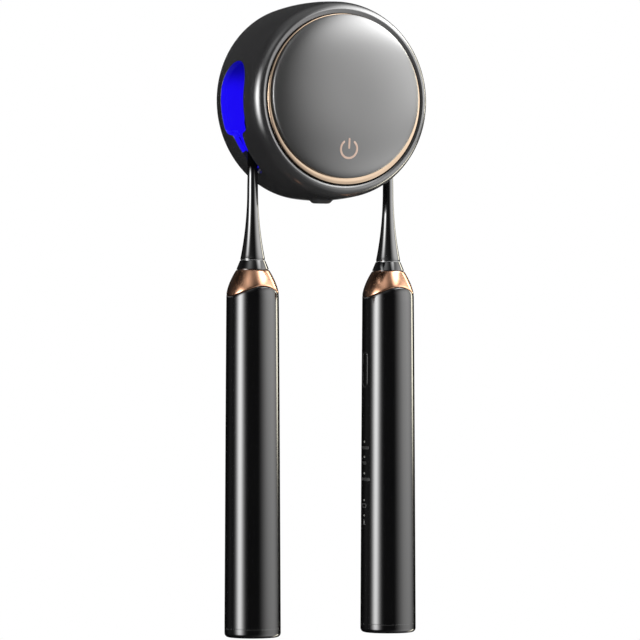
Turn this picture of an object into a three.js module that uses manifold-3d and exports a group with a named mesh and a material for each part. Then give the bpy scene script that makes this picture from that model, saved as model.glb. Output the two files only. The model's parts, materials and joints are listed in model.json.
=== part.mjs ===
// Wall-mounted UV toothbrush steriliser with two electric toothbrushes hanging in its side slots.
// Units are millimetres. X points right, Y into the wall, Z up. The origin is the centre of the
// steriliser's wall face; its round body lies along -Y, and the wall is the plane y = 0.
// Each brush is built about its own vertical axis, with its button towards +X, then placed.
// Chambers, lamps and slots are built for the right side and mirrored to the left.

import * as THREE from 'three';
import { mergeVertices } from 'three/addons/utils/BufferGeometryUtils.js';
import Module from 'manifold-3d';

const wasm = await Module();
wasm.setup();

// ---------------------------------------------------------------- driving dimensions

const GAP = 0.3;              // between pieces that touch or are clipped together
const OVERLAP = 0.5;          // joined shapes run this far into each other
const PAST = 1;               // cutters run this far past the faces they cut
const SEG_BODY = 48;          // facets round the steriliser's outside
const SEG_INNER = 32;         // facets round its inner discs
const SEG_HANDLE = 28;        // facets round a handle
const SEG_ROD = 20;           // facets round motors, cells and necks
const SEG_SMALL = 12;         // facets round pins, screws and bores

// wall side
const PAD_THICKNESS = 0.8;
const PAD_MARGIN = 1;         // the pad is this much smaller than the plate all round
const PLATE_ROOM = 15.5;      // from the plate's edge out to the middle of the screws
const PLATE_THICKNESS = 2.4;
const PLATE_LIFT = 9;         // how far the steriliser slides up before its hooks are free
const HOOK_INSET = 13;        // of the hooks from the plate's edge
const HOOK_Z = 6;
const HOOK_NECK_RADIUS = 2.0;
const HOOK_HEAD_RADIUS = 3.8;
const HOOK_HEAD_THICKNESS = 1.4;

// shell: a barrel about the Y axis; depths are distances from the wall
const SHELL_RADIUS = 47.55;   // at the fullest part of the barrel
const REAR_DROP = 0.6;        // how much less the radius is at the rear edge
const FRONT_DROP = 0.85;      // and where the front shoulder starts
const SHELL_REAR_DEPTH = 0.6;
const SHELL_EDGE_ROUNDING = 1.1;
const SHELL_WALL = 2.1;
const SHOULDER_DEPTH = 7.1;   // the rounded front shoulder, along Y
const SHOULDER_WIDTH = 5.65;  // and across the radius

// chambers behind the slots, and the frame in front of them
const REAR_COVER_FLOOR = 2.2;
const REAR_COVER_INSET = 0.2;
const LINER_WALL = 1.2;
const CHAMBER_DEPTH = 26.4;
const CHAMBER_FLOOR = -16.3;
const CHAMBER_HEIGHT = 37.7;
const BRISTLE_ROOM = 4.6;     // between the bristles and the chamber's inner wall
const CHUTE_WIDTH = 8.2;
const CHUTE_ROOM = 5.9;       // from the brush's axis to the chute's inner wall
const LIP_HEIGHT = 1.6;
const LIP_WIDTH = 2.2;
const FRAME_THICKNESS = 2.5;
const FRAME_LAND = 11.1;      // from the frame's window out to its posts
const FRAME_BAR_WIDTH = 12;
const FACE_ROOM = 3.3;        // from the frame to the back of the trim ring

// trim ring and front cover
const RING_WIDTH = 4.65;
const RING_THICKNESS = 2.6;
const RING_CHAMFER = 0.4;
const RING_RIB = 2.6;         // width of the frame's rib behind the ring
const RING_SHOWS = 2.0;       // mean width of the ring that the cover leaves in view
const COVER_OFFSET = 1.635;   // the cover sits this far above the centre of the ring
const COVER_SIDE = 1.2;       // height of the cover's straight side
const COVER_DOME = 5.2;       // rise of the dome above the side
const COVER_POWER = 2.8;      // how far out the dome stays flat
const COVER_FALL = 0.625;     // how fast it falls at the rim
const COVER_WALL = 2.0;
const SPIGOT_CLEARANCE = 0.3;

// power symbol on the cover
const SYMBOL_RISE = 13.04;    // of its centre above the cover's lower edge
const SYMBOL_RADIUS = 4.1;
const SYMBOL_STROKE = 0.95;
const SYMBOL_BAR = 5.0;
const SYMBOL_BAR_RISE = 0.9;  // the bar ends this far above the ring's centre line
const SYMBOL_OPENING = 62;    // degrees left open at the top of the ring
const SYMBOL_FOOT = 1.5;      // how much wider the light guide's foot is than the ring

// keyhole slots in the shell's sides
const SLOT_REAR_MARGIN = 0.4; // the slot starts this far inside the chamber's rear wall
const SLOT_FRONT_MARGIN = 1;  // and ends this far inside its front wall
const SLOT_SILL = 0.3;        // the slot's lower edge lies this far below the chamber's floor
const SLOT_HEIGHT = 35.8;
const SLOT_ARCH = 14.5;       // height of the arched top
const SLOT_CORNER = 3.6;
const SLIT_WIDTH = 6.6;
const SLIT_ROOM = 5.5;        // from the brush's axis to the end of the slit
const FUNNEL_WIDTH = 10.4;
const FUNNEL_HEIGHT = 9.4;

// ultraviolet lamps
const LENS_WIDTH = 9;
const LENS_HEIGHT = 24;
const LENS_THICKNESS = 1.5;
const LENS_RISE = 18.3;       // of its centre above the chamber's floor
const UV_BOARD_WIDTH = 21.5;
const UV_BOARD_HEIGHT = 30;
const UV_BOARD_THICKNESS = 1.2;

// screws, boards and the steriliser's cell
const POST_RADIUS = 3.4;
const POST_MARGIN = 2.0;      // from the posts out to the inside of the shell
const POST_ANGLE = 30;        // degrees from the vertical
const SCREW_RADIUS = 1.3;
const SCREW_HEAD_RADIUS = 2.6;
const SCREW_HEAD_HEIGHT = 1.6;
const SCREW_HEAD_EDGE = 0.5;
const SCREW_LENGTH = 10;
const SCREW_TIP = 0.8;
const SCREW_LAND = 3.0;       // cover left under a screw's head
const BOARD_THICKNESS = 1.6;
const TOUCH_MARGIN = 1.1;     // from the touch board out to the cover's spigot
const MAIN_BOARD_MARGIN = 1;  // between the main board and the lamp boards
const MAIN_CHIPS = [          // width, height, thickness, x and z of the centre
  [10, 10, 1.4, 0, 19],
  [6, 8, 2.0, -11, -16],
];
const CELL_RADIUS = 9.2;
const CELL_ROOM = 3.1;        // from the socket's board to the cell
const CELL_EDGE = 0.5;
const CELL_CAP_RADIUS = 3;
const CELL_CAP_HEIGHT = 0.9;
const HOLDER_WALL = 1.5;
const HOLDER_DEPTH = 7.4;     // how deep the holder grips the cell
const HOLDER_FOOT_WIDTH = 11;
const HOOK_ROOM = 1;          // between the plate's hooks and the holder
const HOLDER_FOOT_INSET = 7.5; // of the foot's ends from the cell's ends
const HOLDER_END_HOLE = 3.4;

// charging port under the shell
const PORT_WIDTH = 9.6;
const PORT_THICKNESS = 3.9;
const SOCKET_WALL = 0.4;
const SOCKET_REACH = 0.7;     // how far the socket enters the hole in the shell
const SOCKET_LENGTH = 8.4;
const SOCKET_FLOOR = 0.6;
const SOCKET_BOARD_WIDTH = 16;
const SOCKET_BOARD_REAR = 4;  // how far the board reaches past the socket towards the wall
const PLUG_WIDTH = 13.2;
const PLUG_THICKNESS = 7.9;
const PLUG_HEIGHT = 1.7;
const PLUG_TAPER = 2.3;
const PLUG_STEPS = 3;
const PLUG_TONGUE = 5.6;
const TONGUE_CLEARANCE = 0.4;

// brush head; heights run down the brush from where its shoulders rest in the chute
const BRUSH_INSET = 11.05;    // of the brush's axis from the side of the shell
const BRUSH_REARWARD = 0.95;  // the brush hangs this far behind the chamber's middle
const HEAD_WIDTH = 12.4;
const HEAD_BACK = 2.5;
const HEAD_FRONT = 1.9;
const HEAD_CROWN = 1.2;       // how much flatter than a full arc the back is
const HEAD_TAPER = 8;         // height of the shoulders between neck and head
const HEAD_STRAIGHT = 16.2;
const HEAD_TIP = 7;
const NECK_RADIUS = 2.45;
const NECK_SWELL = 0.12;
const NECK_LENGTH = 57.52;
const NECK_SLIM = 22.8;       // length of its slim upper part
const NECK_FLARE = 2.1;
const NECK_BASE_RADIUS = 5.99;
const TUFT_RADIUS = 0.85;
const TUFT_SIDES = 5;
const TUFT_LENGTH = 8.3;
const TUFT_PITCH = 2.4;
const TUFT_ROWS = 7;
const TUFT_COLUMNS = 4;
const TUFT_PLATE_DEPTH = 1.2;
const TUFT_PLATE_EDGE = 0.7;
const TUFT_RISE = 1.6;        // of the tufts above the middle of the head

// nose, collar and handle
const NOSE_HEIGHT = 4.2;
const NOSE_TOP_RADIUS = 6.1;
const NOSE_BOTTOM_RADIUS = 7.7;
const NOSE_SPIGOT = 0.2;      // how much slimmer the hidden spigot is than the nose's top
const NOSE_FLANGE_DROP = 3;   // of the flange below the collar's shoulder
const NOSE_FLANGE = 2.4;
const NOSE_CONE = 2;
const COLLAR_HEIGHT = 11.9;   // from its top to where the handle becomes straight
const COLLAR_BULGE = 1.6;
const WAVE_DROP = 10.35;      // of the wavy joint's mean height below the collar's top
const WAVE_SWING = 2.46;
const HANDLE_LENGTH = 162.6;  // below the collar's shoulder
const HANDLE_TOP_RADIUS = 12.5;
const HANDLE_BASE_RADIUS = 13.4;
const HANDLE_SWELL = 0.8;
const HANDLE_CORNER = 3.9;
const HANDLE_WALL = 1.5;

// drive and seal
const SHAFT_RADIUS = 1.4;
const SHAFT_CHAMFER = 0.3;
const SHAFT_REACH = 19.7;     // how far the shaft reaches into the head
const SHAFT_GRIP = 3.2;
const BORE_TIP = 0.8;
const SEAL_RADIUS = 4.1;
const SEAL_LENGTH = 6.2;
const MOTOR_DROP = 5;         // of the motor below the top of the chassis
const MOTOR_RADIUS = 7;
const MOTOR_LENGTH = 34;
const MOTOR_EDGE = 0.6;
const BULKHEAD = 3;

// inside the handle
const BRUSH_CELL_RADIUS = 7;
const BRUSH_CELL_LENGTH = 65;
const BRUSH_CELL_EDGE = 0.4;
const BRUSH_CELL_CAP = 0.8;
const CHASSIS_CLEARANCE = 0.38;
const BAY_ROOM = 0.2;         // from motor and cell to the chassis's flat front
const CONTROL_BOARD_WIDTH = 11.4;
const CONTROL_BOARD_THICKNESS = 1.0;
const CONTROL_BOARD_RISE = 12; // of its top above the button's middle
const CONTROL_BOARD_LENGTH = 89;
const SWITCH_WIDTH = 4;
const SWITCH_CLEARANCE = 0.2;

// button and indicator lights, as distances below the collar's shoulder
const BUTTON_DROP = 35.6;
const BUTTON_WIDTH = 4.4;
const BUTTON_LENGTH = 16.5;
const BUTTON_CLEARANCE = 0.35;
const BUTTON_TRAVEL = 0.7;
const BUTTON_SINK = 0.05;
const BUTTON_FLANGE = 0.8;
const BUTTON_FLANGE_THICKNESS = 0.5;
const LIGHT_DROPS = [70.4, 77.7, 85.6, 98.6, 106.0];
const LIGHT_RADIUS = 0.6;
const LIGHT_BAR_WIDTH = 3.2;
const LIGHT_BAR_END = 2;

// base
const CAP_FLOOR = 2.0;
const CAP_SPIGOT = 6.2;
const CAP_WALL = 0.95;
const COIL_HEIGHT = 4;
const COIL_WIDTH = 4.2;
const SEAL_SECTION = 0.5;
const SEAL_SIDES = 5;
const SEAL_RISE = 1.6;

// ---------------------------------------------------------------- places worked out from them

// depths from the wall
const plateRear = PAD_THICKNESS + GAP;
const plateFront = plateRear + PLATE_THICKNESS;
const floorRear = plateFront + GAP;
const floorFront = floorRear + REAR_COVER_FLOOR;
const chamberRear = floorFront + GAP + LINER_WALL;
const chamberFront = chamberRear + CHAMBER_DEPTH;
const brushDepth = (chamberRear + chamberFront) / 2 - BRUSH_REARWARD;
const frameRear = chamberFront + LINER_WALL + GAP;
const frameFront = frameRear + FRAME_THICKNESS;
const touchFront = frameFront + GAP + BOARD_THICKNESS;
const ringRear = frameFront + FACE_ROOM + GAP;
const ringFront = ringRear + RING_THICKNESS;
const coverRear = ringFront + GAP;
const coverFront = coverRear + COVER_SIDE + COVER_DOME;
const cellDepth = floorFront + GAP + HOOK_HEAD_THICKNESS + HOOK_ROOM + HOLDER_WALL + GAP + CELL_RADIUS;

// radii about the steriliser's axis
const rearRadius = SHELL_RADIUS - REAR_DROP;
const frontRadius = SHELL_RADIUS - FRONT_DROP;
const innerRadius = rearRadius - SHELL_WALL;
const fitRadius = innerRadius - GAP;
const faceOpening = frontRadius - SHOULDER_WIDTH;
const ringOuter = faceOpening - GAP;
const ringInner = ringOuter - RING_WIDTH;
const coverRadius = ringOuter - RING_SHOWS;
const spigotOuter = ringInner - GAP;
const spigotInner = spigotOuter - COVER_WALL;
const touchRadius = spigotInner - TOUCH_MARGIN;
const postRadius = fitRadius - POST_MARGIN - POST_RADIUS;
const postX = postRadius * Math.sin(THREE.MathUtils.degToRad(POST_ANGLE));
const postZ = postRadius * Math.cos(THREE.MathUtils.degToRad(POST_ANGLE));
const postPlaces = [[-postX, postZ], [postX, postZ], [-postX, -postZ], [postX, -postZ]];
const windowRadius = postRadius - POST_RADIUS - FRAME_LAND;
const plateRadius = postRadius - PLATE_ROOM;
const hookX = plateRadius - HOOK_INSET;
const brushX = SHELL_RADIUS - BRUSH_INSET;
const symbolHeight = COVER_OFFSET - coverRadius + SYMBOL_RISE;

// slots and chambers
const slotRear = chamberRear + SLOT_REAR_MARGIN;
const slotFront = chamberFront - SLOT_FRONT_MARGIN;
const slotBottom = CHAMBER_FLOOR - SLOT_SILL;
const slotTop = slotBottom + SLOT_HEIGHT;
const chamberTop = CHAMBER_FLOOR + CHAMBER_HEIGHT;
const chamberInnerX = brushX - HEAD_FRONT - TUFT_LENGTH - BRISTLE_ROOM;
const chuteInnerX = brushX - CHUTE_ROOM;
const slitEndX = brushX - SLIT_ROOM;
const lensHeight = CHAMBER_FLOOR + LENS_RISE;
const lampFace = chamberInnerX - LINER_WALL - GAP;

// charging port
const socketMouth = -innerRadius - SOCKET_REACH;
const socketTop = socketMouth + SOCKET_LENGTH;
const socketWidth = PORT_WIDTH - 2 * GAP;
const socketThickness = PORT_THICKNESS - 2 * GAP;
const socketBoardTop = socketTop + GAP + BOARD_THICKNESS;
const cellLength = 2 * (-socketBoardTop - CELL_ROOM);

// heights down a brush, from where the head's shoulders rest in the chute
const shoulderShare = (CHUTE_WIDTH / 2 - GAP - NECK_RADIUS) / (HEAD_WIDTH / 2 - NECK_RADIUS);
const neckTop = CHAMBER_FLOOR - HEAD_TAPER * shoulderShare;
const headBottom = neckTop + HEAD_TAPER;
const headTop = headBottom + HEAD_STRAIGHT;
const tuftHeight = (headBottom + headTop) / 2 + TUFT_RISE;
const neckBase = neckTop - NECK_LENGTH;
const shaftTop = neckBase + SHAFT_REACH;
const noseTop = neckBase - GAP;
const noseBottom = noseTop - NOSE_HEIGHT;
const collarTop = noseBottom - GAP;
const collarShoulder = collarTop - COLLAR_HEIGHT;
const waveHeight = collarTop - WAVE_DROP;
const flangeTop = collarShoulder - NOSE_FLANGE_DROP;
const flangeBottom = flangeTop - NOSE_FLANGE;
const chassisTop = flangeBottom - GAP;
const motorTop = chassisTop - MOTOR_DROP;
const motorBottom = motorTop - MOTOR_LENGTH;
const brushCellTop = motorBottom - BULKHEAD;
const brushCellBottom = brushCellTop - BRUSH_CELL_LENGTH;
const buttonHeight = collarShoulder - BUTTON_DROP;
const lightHeights = LIGHT_DROPS.map((drop) => collarShoulder - drop);
const handleBase = collarShoulder - HANDLE_LENGTH;
const capTop = handleBase + HANDLE_CORNER;
const capSpigotTop = capTop + CAP_SPIGOT;
const chassisBottom = capSpigotTop + GAP;

// places across a brush
const boreRadius = SHAFT_RADIUS + GAP;
const sealPocket = SEAL_RADIUS + GAP;
const chassisRadius = HANDLE_TOP_RADIUS - HANDLE_WALL - CHASSIS_CLEARANCE;
const chassisFront = Math.max(MOTOR_RADIUS, BRUSH_CELL_RADIUS) + BAY_ROOM;
const boardFront = chassisFront + GAP + CONTROL_BOARD_THICKNESS;
const capSpigotRadius = wallRadius(capTop) - GAP;
const capGroove = capSpigotRadius - 2 * SEAL_SECTION - GAP;
const capBore = capGroove - CAP_WALL;
const sealHeight = capTop + SEAL_RISE + GAP + SEAL_SECTION;
const buttonReach = BUTTON_WIDTH / 2 + BUTTON_FLANGE;
const buttonFlangeFront = Math.sqrt((wallRadius(buttonHeight) - GAP) ** 2 - buttonReach ** 2);
const buttonBack = buttonFlangeFront - BUTTON_FLANGE_THICKNESS;
const switchTop = buttonBack - BUTTON_TRAVEL - SWITCH_CLEARANCE;

// ---------------------------------------------------------------- curves

// The barrel's outer radius at a depth.
function barrelRadius(depth) {
  const t = (depth - SHELL_REAR_DEPTH) / (ringFront - SHOULDER_DEPTH - SHELL_REAR_DEPTH);
  const bulge = SHELL_RADIUS - (rearRadius + frontRadius) / 2;
  return rearRadius + (frontRadius - rearRadius) * t + bulge * 4 * t * (1 - t);
}

// The dome's depth at a distance from the cover's own centre.
function domeDepth(radius) {
  const share = Math.min(1, radius / coverRadius);
  return coverRear + COVER_SIDE + COVER_DOME * (1 - share ** COVER_POWER) ** COVER_FALL;
}

// Points of the dome from its rim to its centre.
function domeProfile(steps) {
  return Array.from({ length: steps + 1 }, (_, i) => {
    const radius = coverRadius * Math.sin((Math.PI / 2) * (1 - i / steps));
    return [radius, domeDepth(radius)];
  });
}

// The outer radius of collar and handle at a height.
function outerRadius(z) {
  if (z < collarShoulder) {
    const t = (collarShoulder - z) / (HANDLE_LENGTH - HANDLE_CORNER);
    const swell = Math.min(1, t) ** HANDLE_SWELL;
    return HANDLE_TOP_RADIUS + (HANDLE_BASE_RADIUS - HANDLE_TOP_RADIUS) * swell;
  }
  const t = (noseBottom - z) / (noseBottom - collarShoulder);
  return HANDLE_TOP_RADIUS - (HANDLE_TOP_RADIUS - NOSE_BOTTOM_RADIUS) * (1 - t) ** COLLAR_BULGE;
}

function wallRadius(z) {
  return outerRadius(z) - HANDLE_WALL;
}

// The neck's outer radius, widening smoothly down to its base.
function neckRadius(z) {
  const slim = Math.min(1, (neckTop - z) / NECK_SLIM);
  const flare = Math.max(0, (neckTop - NECK_SLIM - z) / (NECK_LENGTH - NECK_SLIM));
  const slimRadius = NECK_RADIUS + NECK_SWELL * slim;
  return slimRadius + (NECK_BASE_RADIUS - slimRadius) * flare ** NECK_FLARE;
}

// ---------------------------------------------------------------- materials

const material = (color, roughness, metalness = 0) =>
  new THREE.MeshStandardMaterial({ color, roughness, metalness });

const gunmetal = material(0x3a3a3b, 0.32, 0.6);
const coverGrey = material(0x6b6b6c, 0.38, 0.5);
const champagne = material(0xdcc3a4, 0.3, 1);
const roseGold = material(0xb07a60, 0.25, 1);
const glossBlack = material(0x0d0d0e, 0.12);
const blackChrome = material(0x1c1c1e, 0.15, 0.9);
const darkPlastic = material(0x1f2022, 0.5);
const greyPlastic = material(0x8a8d90, 0.55);
const linerBlue = material(0x1a12f2, 0.4);
const quartz = material(0xbfc8ff, 0.1);
const symbolCopper = material(0xd7a08c, 0.35, 0.4);
const steel = material(0xb4b6b8, 0.3, 1);
const boardGreen = material(0x1d5a35, 0.6);
const copper = material(0xb8703c, 0.4, 1);
const cellBlue = material(0x2d5fa8, 0.45);
const rubber = material(0x232324, 0.85);
const foam = material(0xdedede, 0.9);
const bristle = material(0xeeeeea, 0.7);
const lightPipe = material(0xe8e8e0, 0.3);

// ---------------------------------------------------------------- geometry helpers

// A closed three.js geometry as a manifold solid with its faces outward.
function solid(geometry) {
  const bare = geometry.clone();
  bare.deleteAttribute('normal');
  bare.deleteAttribute('uv');
  const merged = mergeVertices(bare, 1e-4);
  const positions = merged.getAttribute('position').array;
  const corners = merged.getIndex().array;
  const kept = [];
  for (let i = 0; i < corners.length; i += 3) {
    const [a, b, c] = corners.slice(i, i + 3);
    if (a !== b && b !== c && c !== a) kept.push(a, b, c);
  }
  if (signedVolume(positions, kept) < 0) kept.reverse();
  return new wasm.Manifold(new wasm.Mesh({
    numProp: 3,
    vertProperties: Float32Array.from(positions),
    triVerts: Uint32Array.from(kept),
  }));
}

function signedVolume(positions, triangles) {
  const [a, b, c] = [new THREE.Vector3(), new THREE.Vector3(), new THREE.Vector3()];
  let volume = 0;
  for (let i = 0; i < triangles.length; i += 3) {
    a.fromArray(positions, 3 * triangles[i]);
    b.fromArray(positions, 3 * triangles[i + 1]);
    c.fromArray(positions, 3 * triangles[i + 2]);
    volume += a.dot(b.cross(c)) / 6;
  }
  return volume;
}

function meshOf(name, body, look) {
  const { vertProperties, triVerts } = body.getMesh();
  const geometry = new THREE.BufferGeometry();
  geometry.setAttribute('position', new THREE.BufferAttribute(vertProperties, 3));
  geometry.setIndex(new THREE.BufferAttribute(triVerts, 1));
  geometry.computeVertexNormals();
  const mesh = new THREE.Mesh(geometry, look);
  mesh.name = name;
  return mesh;
}

const points = (pairs) => pairs.map(([x, y]) => new THREE.Vector2(x, y));
const closed = (pairs) => [...pairs, pairs[0]];
const join = (first, ...others) => others.reduce((sum, next) => sum.add(next), first);
const cut = (first, ...others) => others.reduce((rest, next) => rest.subtract(next), first);

// A solid of revolution about Y; pairs are [radius, depth], with depth measured from the wall.
const turnedAboutY = (pairs, segments = SEG_BODY) =>
  solid(new THREE.LatheGeometry(points(pairs.map(([r, depth]) => [r, -depth])), segments));

// A solid of revolution about Z; pairs are [radius, z].
const turnedAboutZ = (pairs, segments = SEG_HANDLE) =>
  solid(new THREE.LatheGeometry(points(pairs), segments).rotateX(Math.PI / 2));

// A plain disc or rod about Y between two depths.
const discY = (radius, from, to, segments = SEG_BODY) =>
  turnedAboutY([[0, from], [radius, from], [radius, to], [0, to]], segments);

// A plain rod about Z between two heights.
const rodZ = (radius, from, to, segments = SEG_ROD) =>
  turnedAboutZ([[0, from], [radius, from], [radius, to], [0, to]], segments);

// A small rod about X, at a height.
const rodX = (radius, from, to, height) => solid(new THREE.LatheGeometry(
  points([[0, from], [radius, from], [radius, to], [0, to]]), SEG_SMALL)
  .rotateZ(-Math.PI / 2).translate(0, 0, height));

// A tube or ring about Z.
const tubeZ = (inner, outer, from, to, segments = SEG_ROD) =>
  turnedAboutZ(closed([[inner, from], [outer, from], [outer, to], [inner, to]]), segments);

// A box from its ranges along X, Y and Z.
function box(...ranges) {
  const size = ranges.map(([low, high]) => high - low);
  const middle = ranges.map(([low, high]) => (low + high) / 2);
  return solid(new THREE.BoxGeometry(...size).translate(...middle));
}

const extrude = (shape, depth, curveSegments) =>
  new THREE.ExtrudeGeometry(shape, { depth, bevelEnabled: false, curveSegments });

// Extrude a shape drawn in (y, z) along X, from one x to another.
const extrudeAlongX = (shape, from, to, curveSegments = 6) =>
  solid(extrude(shape, to - from, curveSegments)
    .rotateX(Math.PI / 2).rotateZ(Math.PI / 2).translate(from, 0, 0));

// Extrude a shape drawn in (x, z) along Y, between two depths.
const extrudeAlongY = (shape, fromDepth, toDepth, curveSegments = 6) =>
  solid(extrude(shape, toDepth - fromDepth, curveSegments)
    .rotateX(Math.PI / 2).translate(0, -fromDepth, 0));

// Extrude a shape drawn in (x, y) along Z.
const extrudeAlongZ = (shape, from, to, curveSegments = 6) =>
  solid(extrude(shape, to - from, curveSegments).translate(0, 0, from));

const polygon = (pairs) => new THREE.Shape(points(pairs));

function circle(radius, [x, y] = [0, 0]) {
  const shape = new THREE.Shape();
  shape.absarc(x, y, radius, 0, 2 * Math.PI, false);
  return shape;
}

// A slot shape with round ends, long along the shape's second axis.
function pill(width, length, [x, y] = [0, 0]) {
  const half = (length - width) / 2;
  const shape = new THREE.Shape();
  shape.absarc(x, y + half, width / 2, 0, Math.PI, false);
  shape.absarc(x, y - half, width / 2, Math.PI, 2 * Math.PI, false);
  shape.closePath();
  return shape;
}

// The same slot shape, long along the first axis.
function flatPill(length, width, [x, y] = [0, 0]) {
  const half = (length - width) / 2;
  const shape = new THREE.Shape();
  shape.absarc(x + half, y, width / 2, -Math.PI / 2, Math.PI / 2, false);
  shape.absarc(x - half, y, width / 2, Math.PI / 2, 1.5 * Math.PI, false);
  shape.closePath();
  return shape;
}

// What is modelled on the right side, taken to the side given as 1 or -1.
const onSide = (body, side) => (side > 0 ? body : body.mirror([1, 0, 0]));

// ---------------------------------------------------------------- wall side

const adhesivePad = () => discY(plateRadius - PAD_MARGIN, 0, PAD_THICKNESS, SEG_INNER);

function wallPlate() {
  const headRear = floorFront + GAP;
  const neck = discY(HOOK_NECK_RADIUS, plateFront - OVERLAP, headRear + OVERLAP, SEG_SMALL);
  const head = discY(HOOK_HEAD_RADIUS, headRear, headRear + HOOK_HEAD_THICKNESS, SEG_SMALL);
  const hooks = [-hookX, hookX].map((x) => neck.add(head).translate([x, 0, HOOK_Z]));
  return join(discY(plateRadius, plateRear, plateFront, SEG_INNER), ...hooks);
}

// ---------------------------------------------------------------- steriliser housing

// The opening through the right side of the shell: a wide keyhole, a funnel and the neck's slit.
function slotCutter() {
  const half = (slotFront - slotRear) / 2;
  const middle = -(slotFront + slotRear) / 2;
  const reach = SHELL_RADIUS + PAST;
  const funnelTop = slotBottom + PAST;
  const wide = new THREE.Shape();
  wide.moveTo(middle + half, slotTop - SLOT_ARCH);
  wide.absellipse(middle, slotTop - SLOT_ARCH, half, SLOT_ARCH, 0, Math.PI, false);
  wide.absarc(middle - half + SLOT_CORNER, slotBottom + SLOT_CORNER, SLOT_CORNER,
    Math.PI, 1.5 * Math.PI, false);
  wide.absarc(middle + half - SLOT_CORNER, slotBottom + SLOT_CORNER, SLOT_CORNER,
    1.5 * Math.PI, 2 * Math.PI, false);
  const funnel = polygon([
    [-brushDepth - FUNNEL_WIDTH / 2, funnelTop],
    [-brushDepth - SLIT_WIDTH / 2, slotBottom - FUNNEL_HEIGHT],
    [-brushDepth + SLIT_WIDTH / 2, slotBottom - FUNNEL_HEIGHT],
    [-brushDepth + FUNNEL_WIDTH / 2, funnelTop]]);
  const slitLength = reach + SLIT_WIDTH - slitEndX;
  const slit = flatPill(slitLength, SLIT_WIDTH, [slitEndX + slitLength / 2, -brushDepth]);
  return join(
    extrudeAlongX(wide, chuteInnerX, reach),
    extrudeAlongX(funnel, brushX, reach),
    extrudeAlongZ(slit, -SHELL_RADIUS, funnelTop));
}

// Points on a quarter of an ellipse between two [radius, depth] ends, bulging outward.
function quarterArc([startRadius, startDepth], [endRadius, endDepth], steps) {
  return Array.from({ length: steps + 1 }, (_, i) => {
    const angle = (Math.PI / 2) * (i / steps);
    return [endRadius + (startRadius - endRadius) * Math.cos(angle),
      startDepth + (endDepth - startDepth) * Math.sin(angle)];
  });
}

function shell() {
  const barrelRear = SHELL_REAR_DEPTH + SHELL_EDGE_ROUNDING;
  const barrelFront = ringFront - SHOULDER_DEPTH;
  const edge = quarterArc([rearRadius, barrelRear],
    [rearRadius - SHELL_EDGE_ROUNDING, SHELL_REAR_DEPTH], 2).reverse();
  const barrel = [0.25, 0.5, 0.75].map((t) => {
    const depth = barrelRear + (barrelFront - barrelRear) * t;
    return [barrelRadius(depth), depth];
  });
  const shoulder = quarterArc([frontRadius, barrelFront], [faceOpening, ringFront], 4);
  const inside = [[faceOpening, ringRear - GAP], [innerRadius, frameFront + GAP],
    [innerRadius, SHELL_REAR_DEPTH]];
  const body = turnedAboutY(closed([...edge, ...barrel, ...shoulder, ...inside]));
  return cut(body, slotCutter(), onSide(slotCutter(), -1), portHole());
}

function rearCover() {
  const rear = SHELL_REAR_DEPTH + REAR_COVER_INSET;
  const recessRadius = plateRadius + 2 * GAP;
  const recess = new THREE.Shape();
  recess.absarc(0, 0, recessRadius, 0, Math.PI, false);
  recess.absarc(0, -PLATE_LIFT - GAP, recessRadius, Math.PI, 2 * Math.PI, false);
  const through = (shape) => extrudeAlongY(shape, rear - PAST, floorFront + PAST);
  const slotWidth = 2 * (HOOK_NECK_RADIUS + GAP);
  const keyholes = [-hookX, hookX].map((x) => join(
    through(pill(slotWidth, PLATE_LIFT + slotWidth, [x, HOOK_Z - PLATE_LIFT / 2])),
    through(circle(HOOK_HEAD_RADIUS + GAP, [x, HOOK_Z - PLATE_LIFT]))));
  const counterbore = join(
    discY(SCREW_HEAD_RADIUS + GAP, rear - PAST, floorFront - SCREW_LAND, SEG_SMALL),
    discY(SCREW_RADIUS + GAP, rear - PAST, floorFront + PAST, SEG_SMALL));
  return cut(discY(fitRadius, rear, floorFront, SEG_INNER),
    extrudeAlongY(recess, rear - PAST, floorRear, 10), ...keyholes,
    ...postPlaces.map(([x, z]) => counterbore.translate([x, 0, z])));
}

function rearScrew() {
  const seat = floorFront - SCREW_LAND - GAP;
  const top = seat - SCREW_HEAD_HEIGHT;
  return turnedAboutY([
    [0, top], [SCREW_HEAD_RADIUS - SCREW_HEAD_EDGE, top],
    [SCREW_HEAD_RADIUS, top + SCREW_HEAD_EDGE], [SCREW_HEAD_RADIUS, seat],
    [SCREW_RADIUS, seat], [SCREW_RADIUS, seat + SCREW_LENGTH], [0, seat + SCREW_LENGTH + SCREW_TIP],
  ], SEG_SMALL);
}

function frontFrame() {
  const plate = cut(discY(fitRadius, frameRear, frameFront, SEG_INNER),
    discY(windowRadius, frameRear - PAST, frameFront + PAST, SEG_INNER));
  const bar = box([-windowRadius - PAST, windowRadius + PAST],
    [-frameFront, -frameRear], [-FRAME_BAR_WIDTH / 2, FRAME_BAR_WIDTH / 2]);
  const ribOuter = ringOuter - 2 * GAP;
  const rib = turnedAboutY(closed([
    [ribOuter - RING_RIB, frameFront - OVERLAP], [ribOuter, frameFront - OVERLAP],
    [ribOuter, ringRear - GAP], [ribOuter - RING_RIB, ringRear - GAP]]), SEG_INNER);
  const pilotEnd = floorFront + SCREW_LENGTH + SCREW_TIP;
  const post = cut(discY(POST_RADIUS, floorFront + GAP, frameRear + OVERLAP, SEG_SMALL),
    discY(SCREW_RADIUS + GAP, floorFront, pilotEnd, SEG_SMALL));
  return join(plate, bar, rib, ...postPlaces.map(([x, z]) => post.translate([x, 0, z])));
}

const trimRing = () => turnedAboutY(closed([
  [ringInner, ringRear], [ringOuter, ringRear], [ringOuter, ringFront - RING_CHAMFER],
  [ringOuter - RING_CHAMFER, ringFront], [ringInner, ringFront]]));

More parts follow.
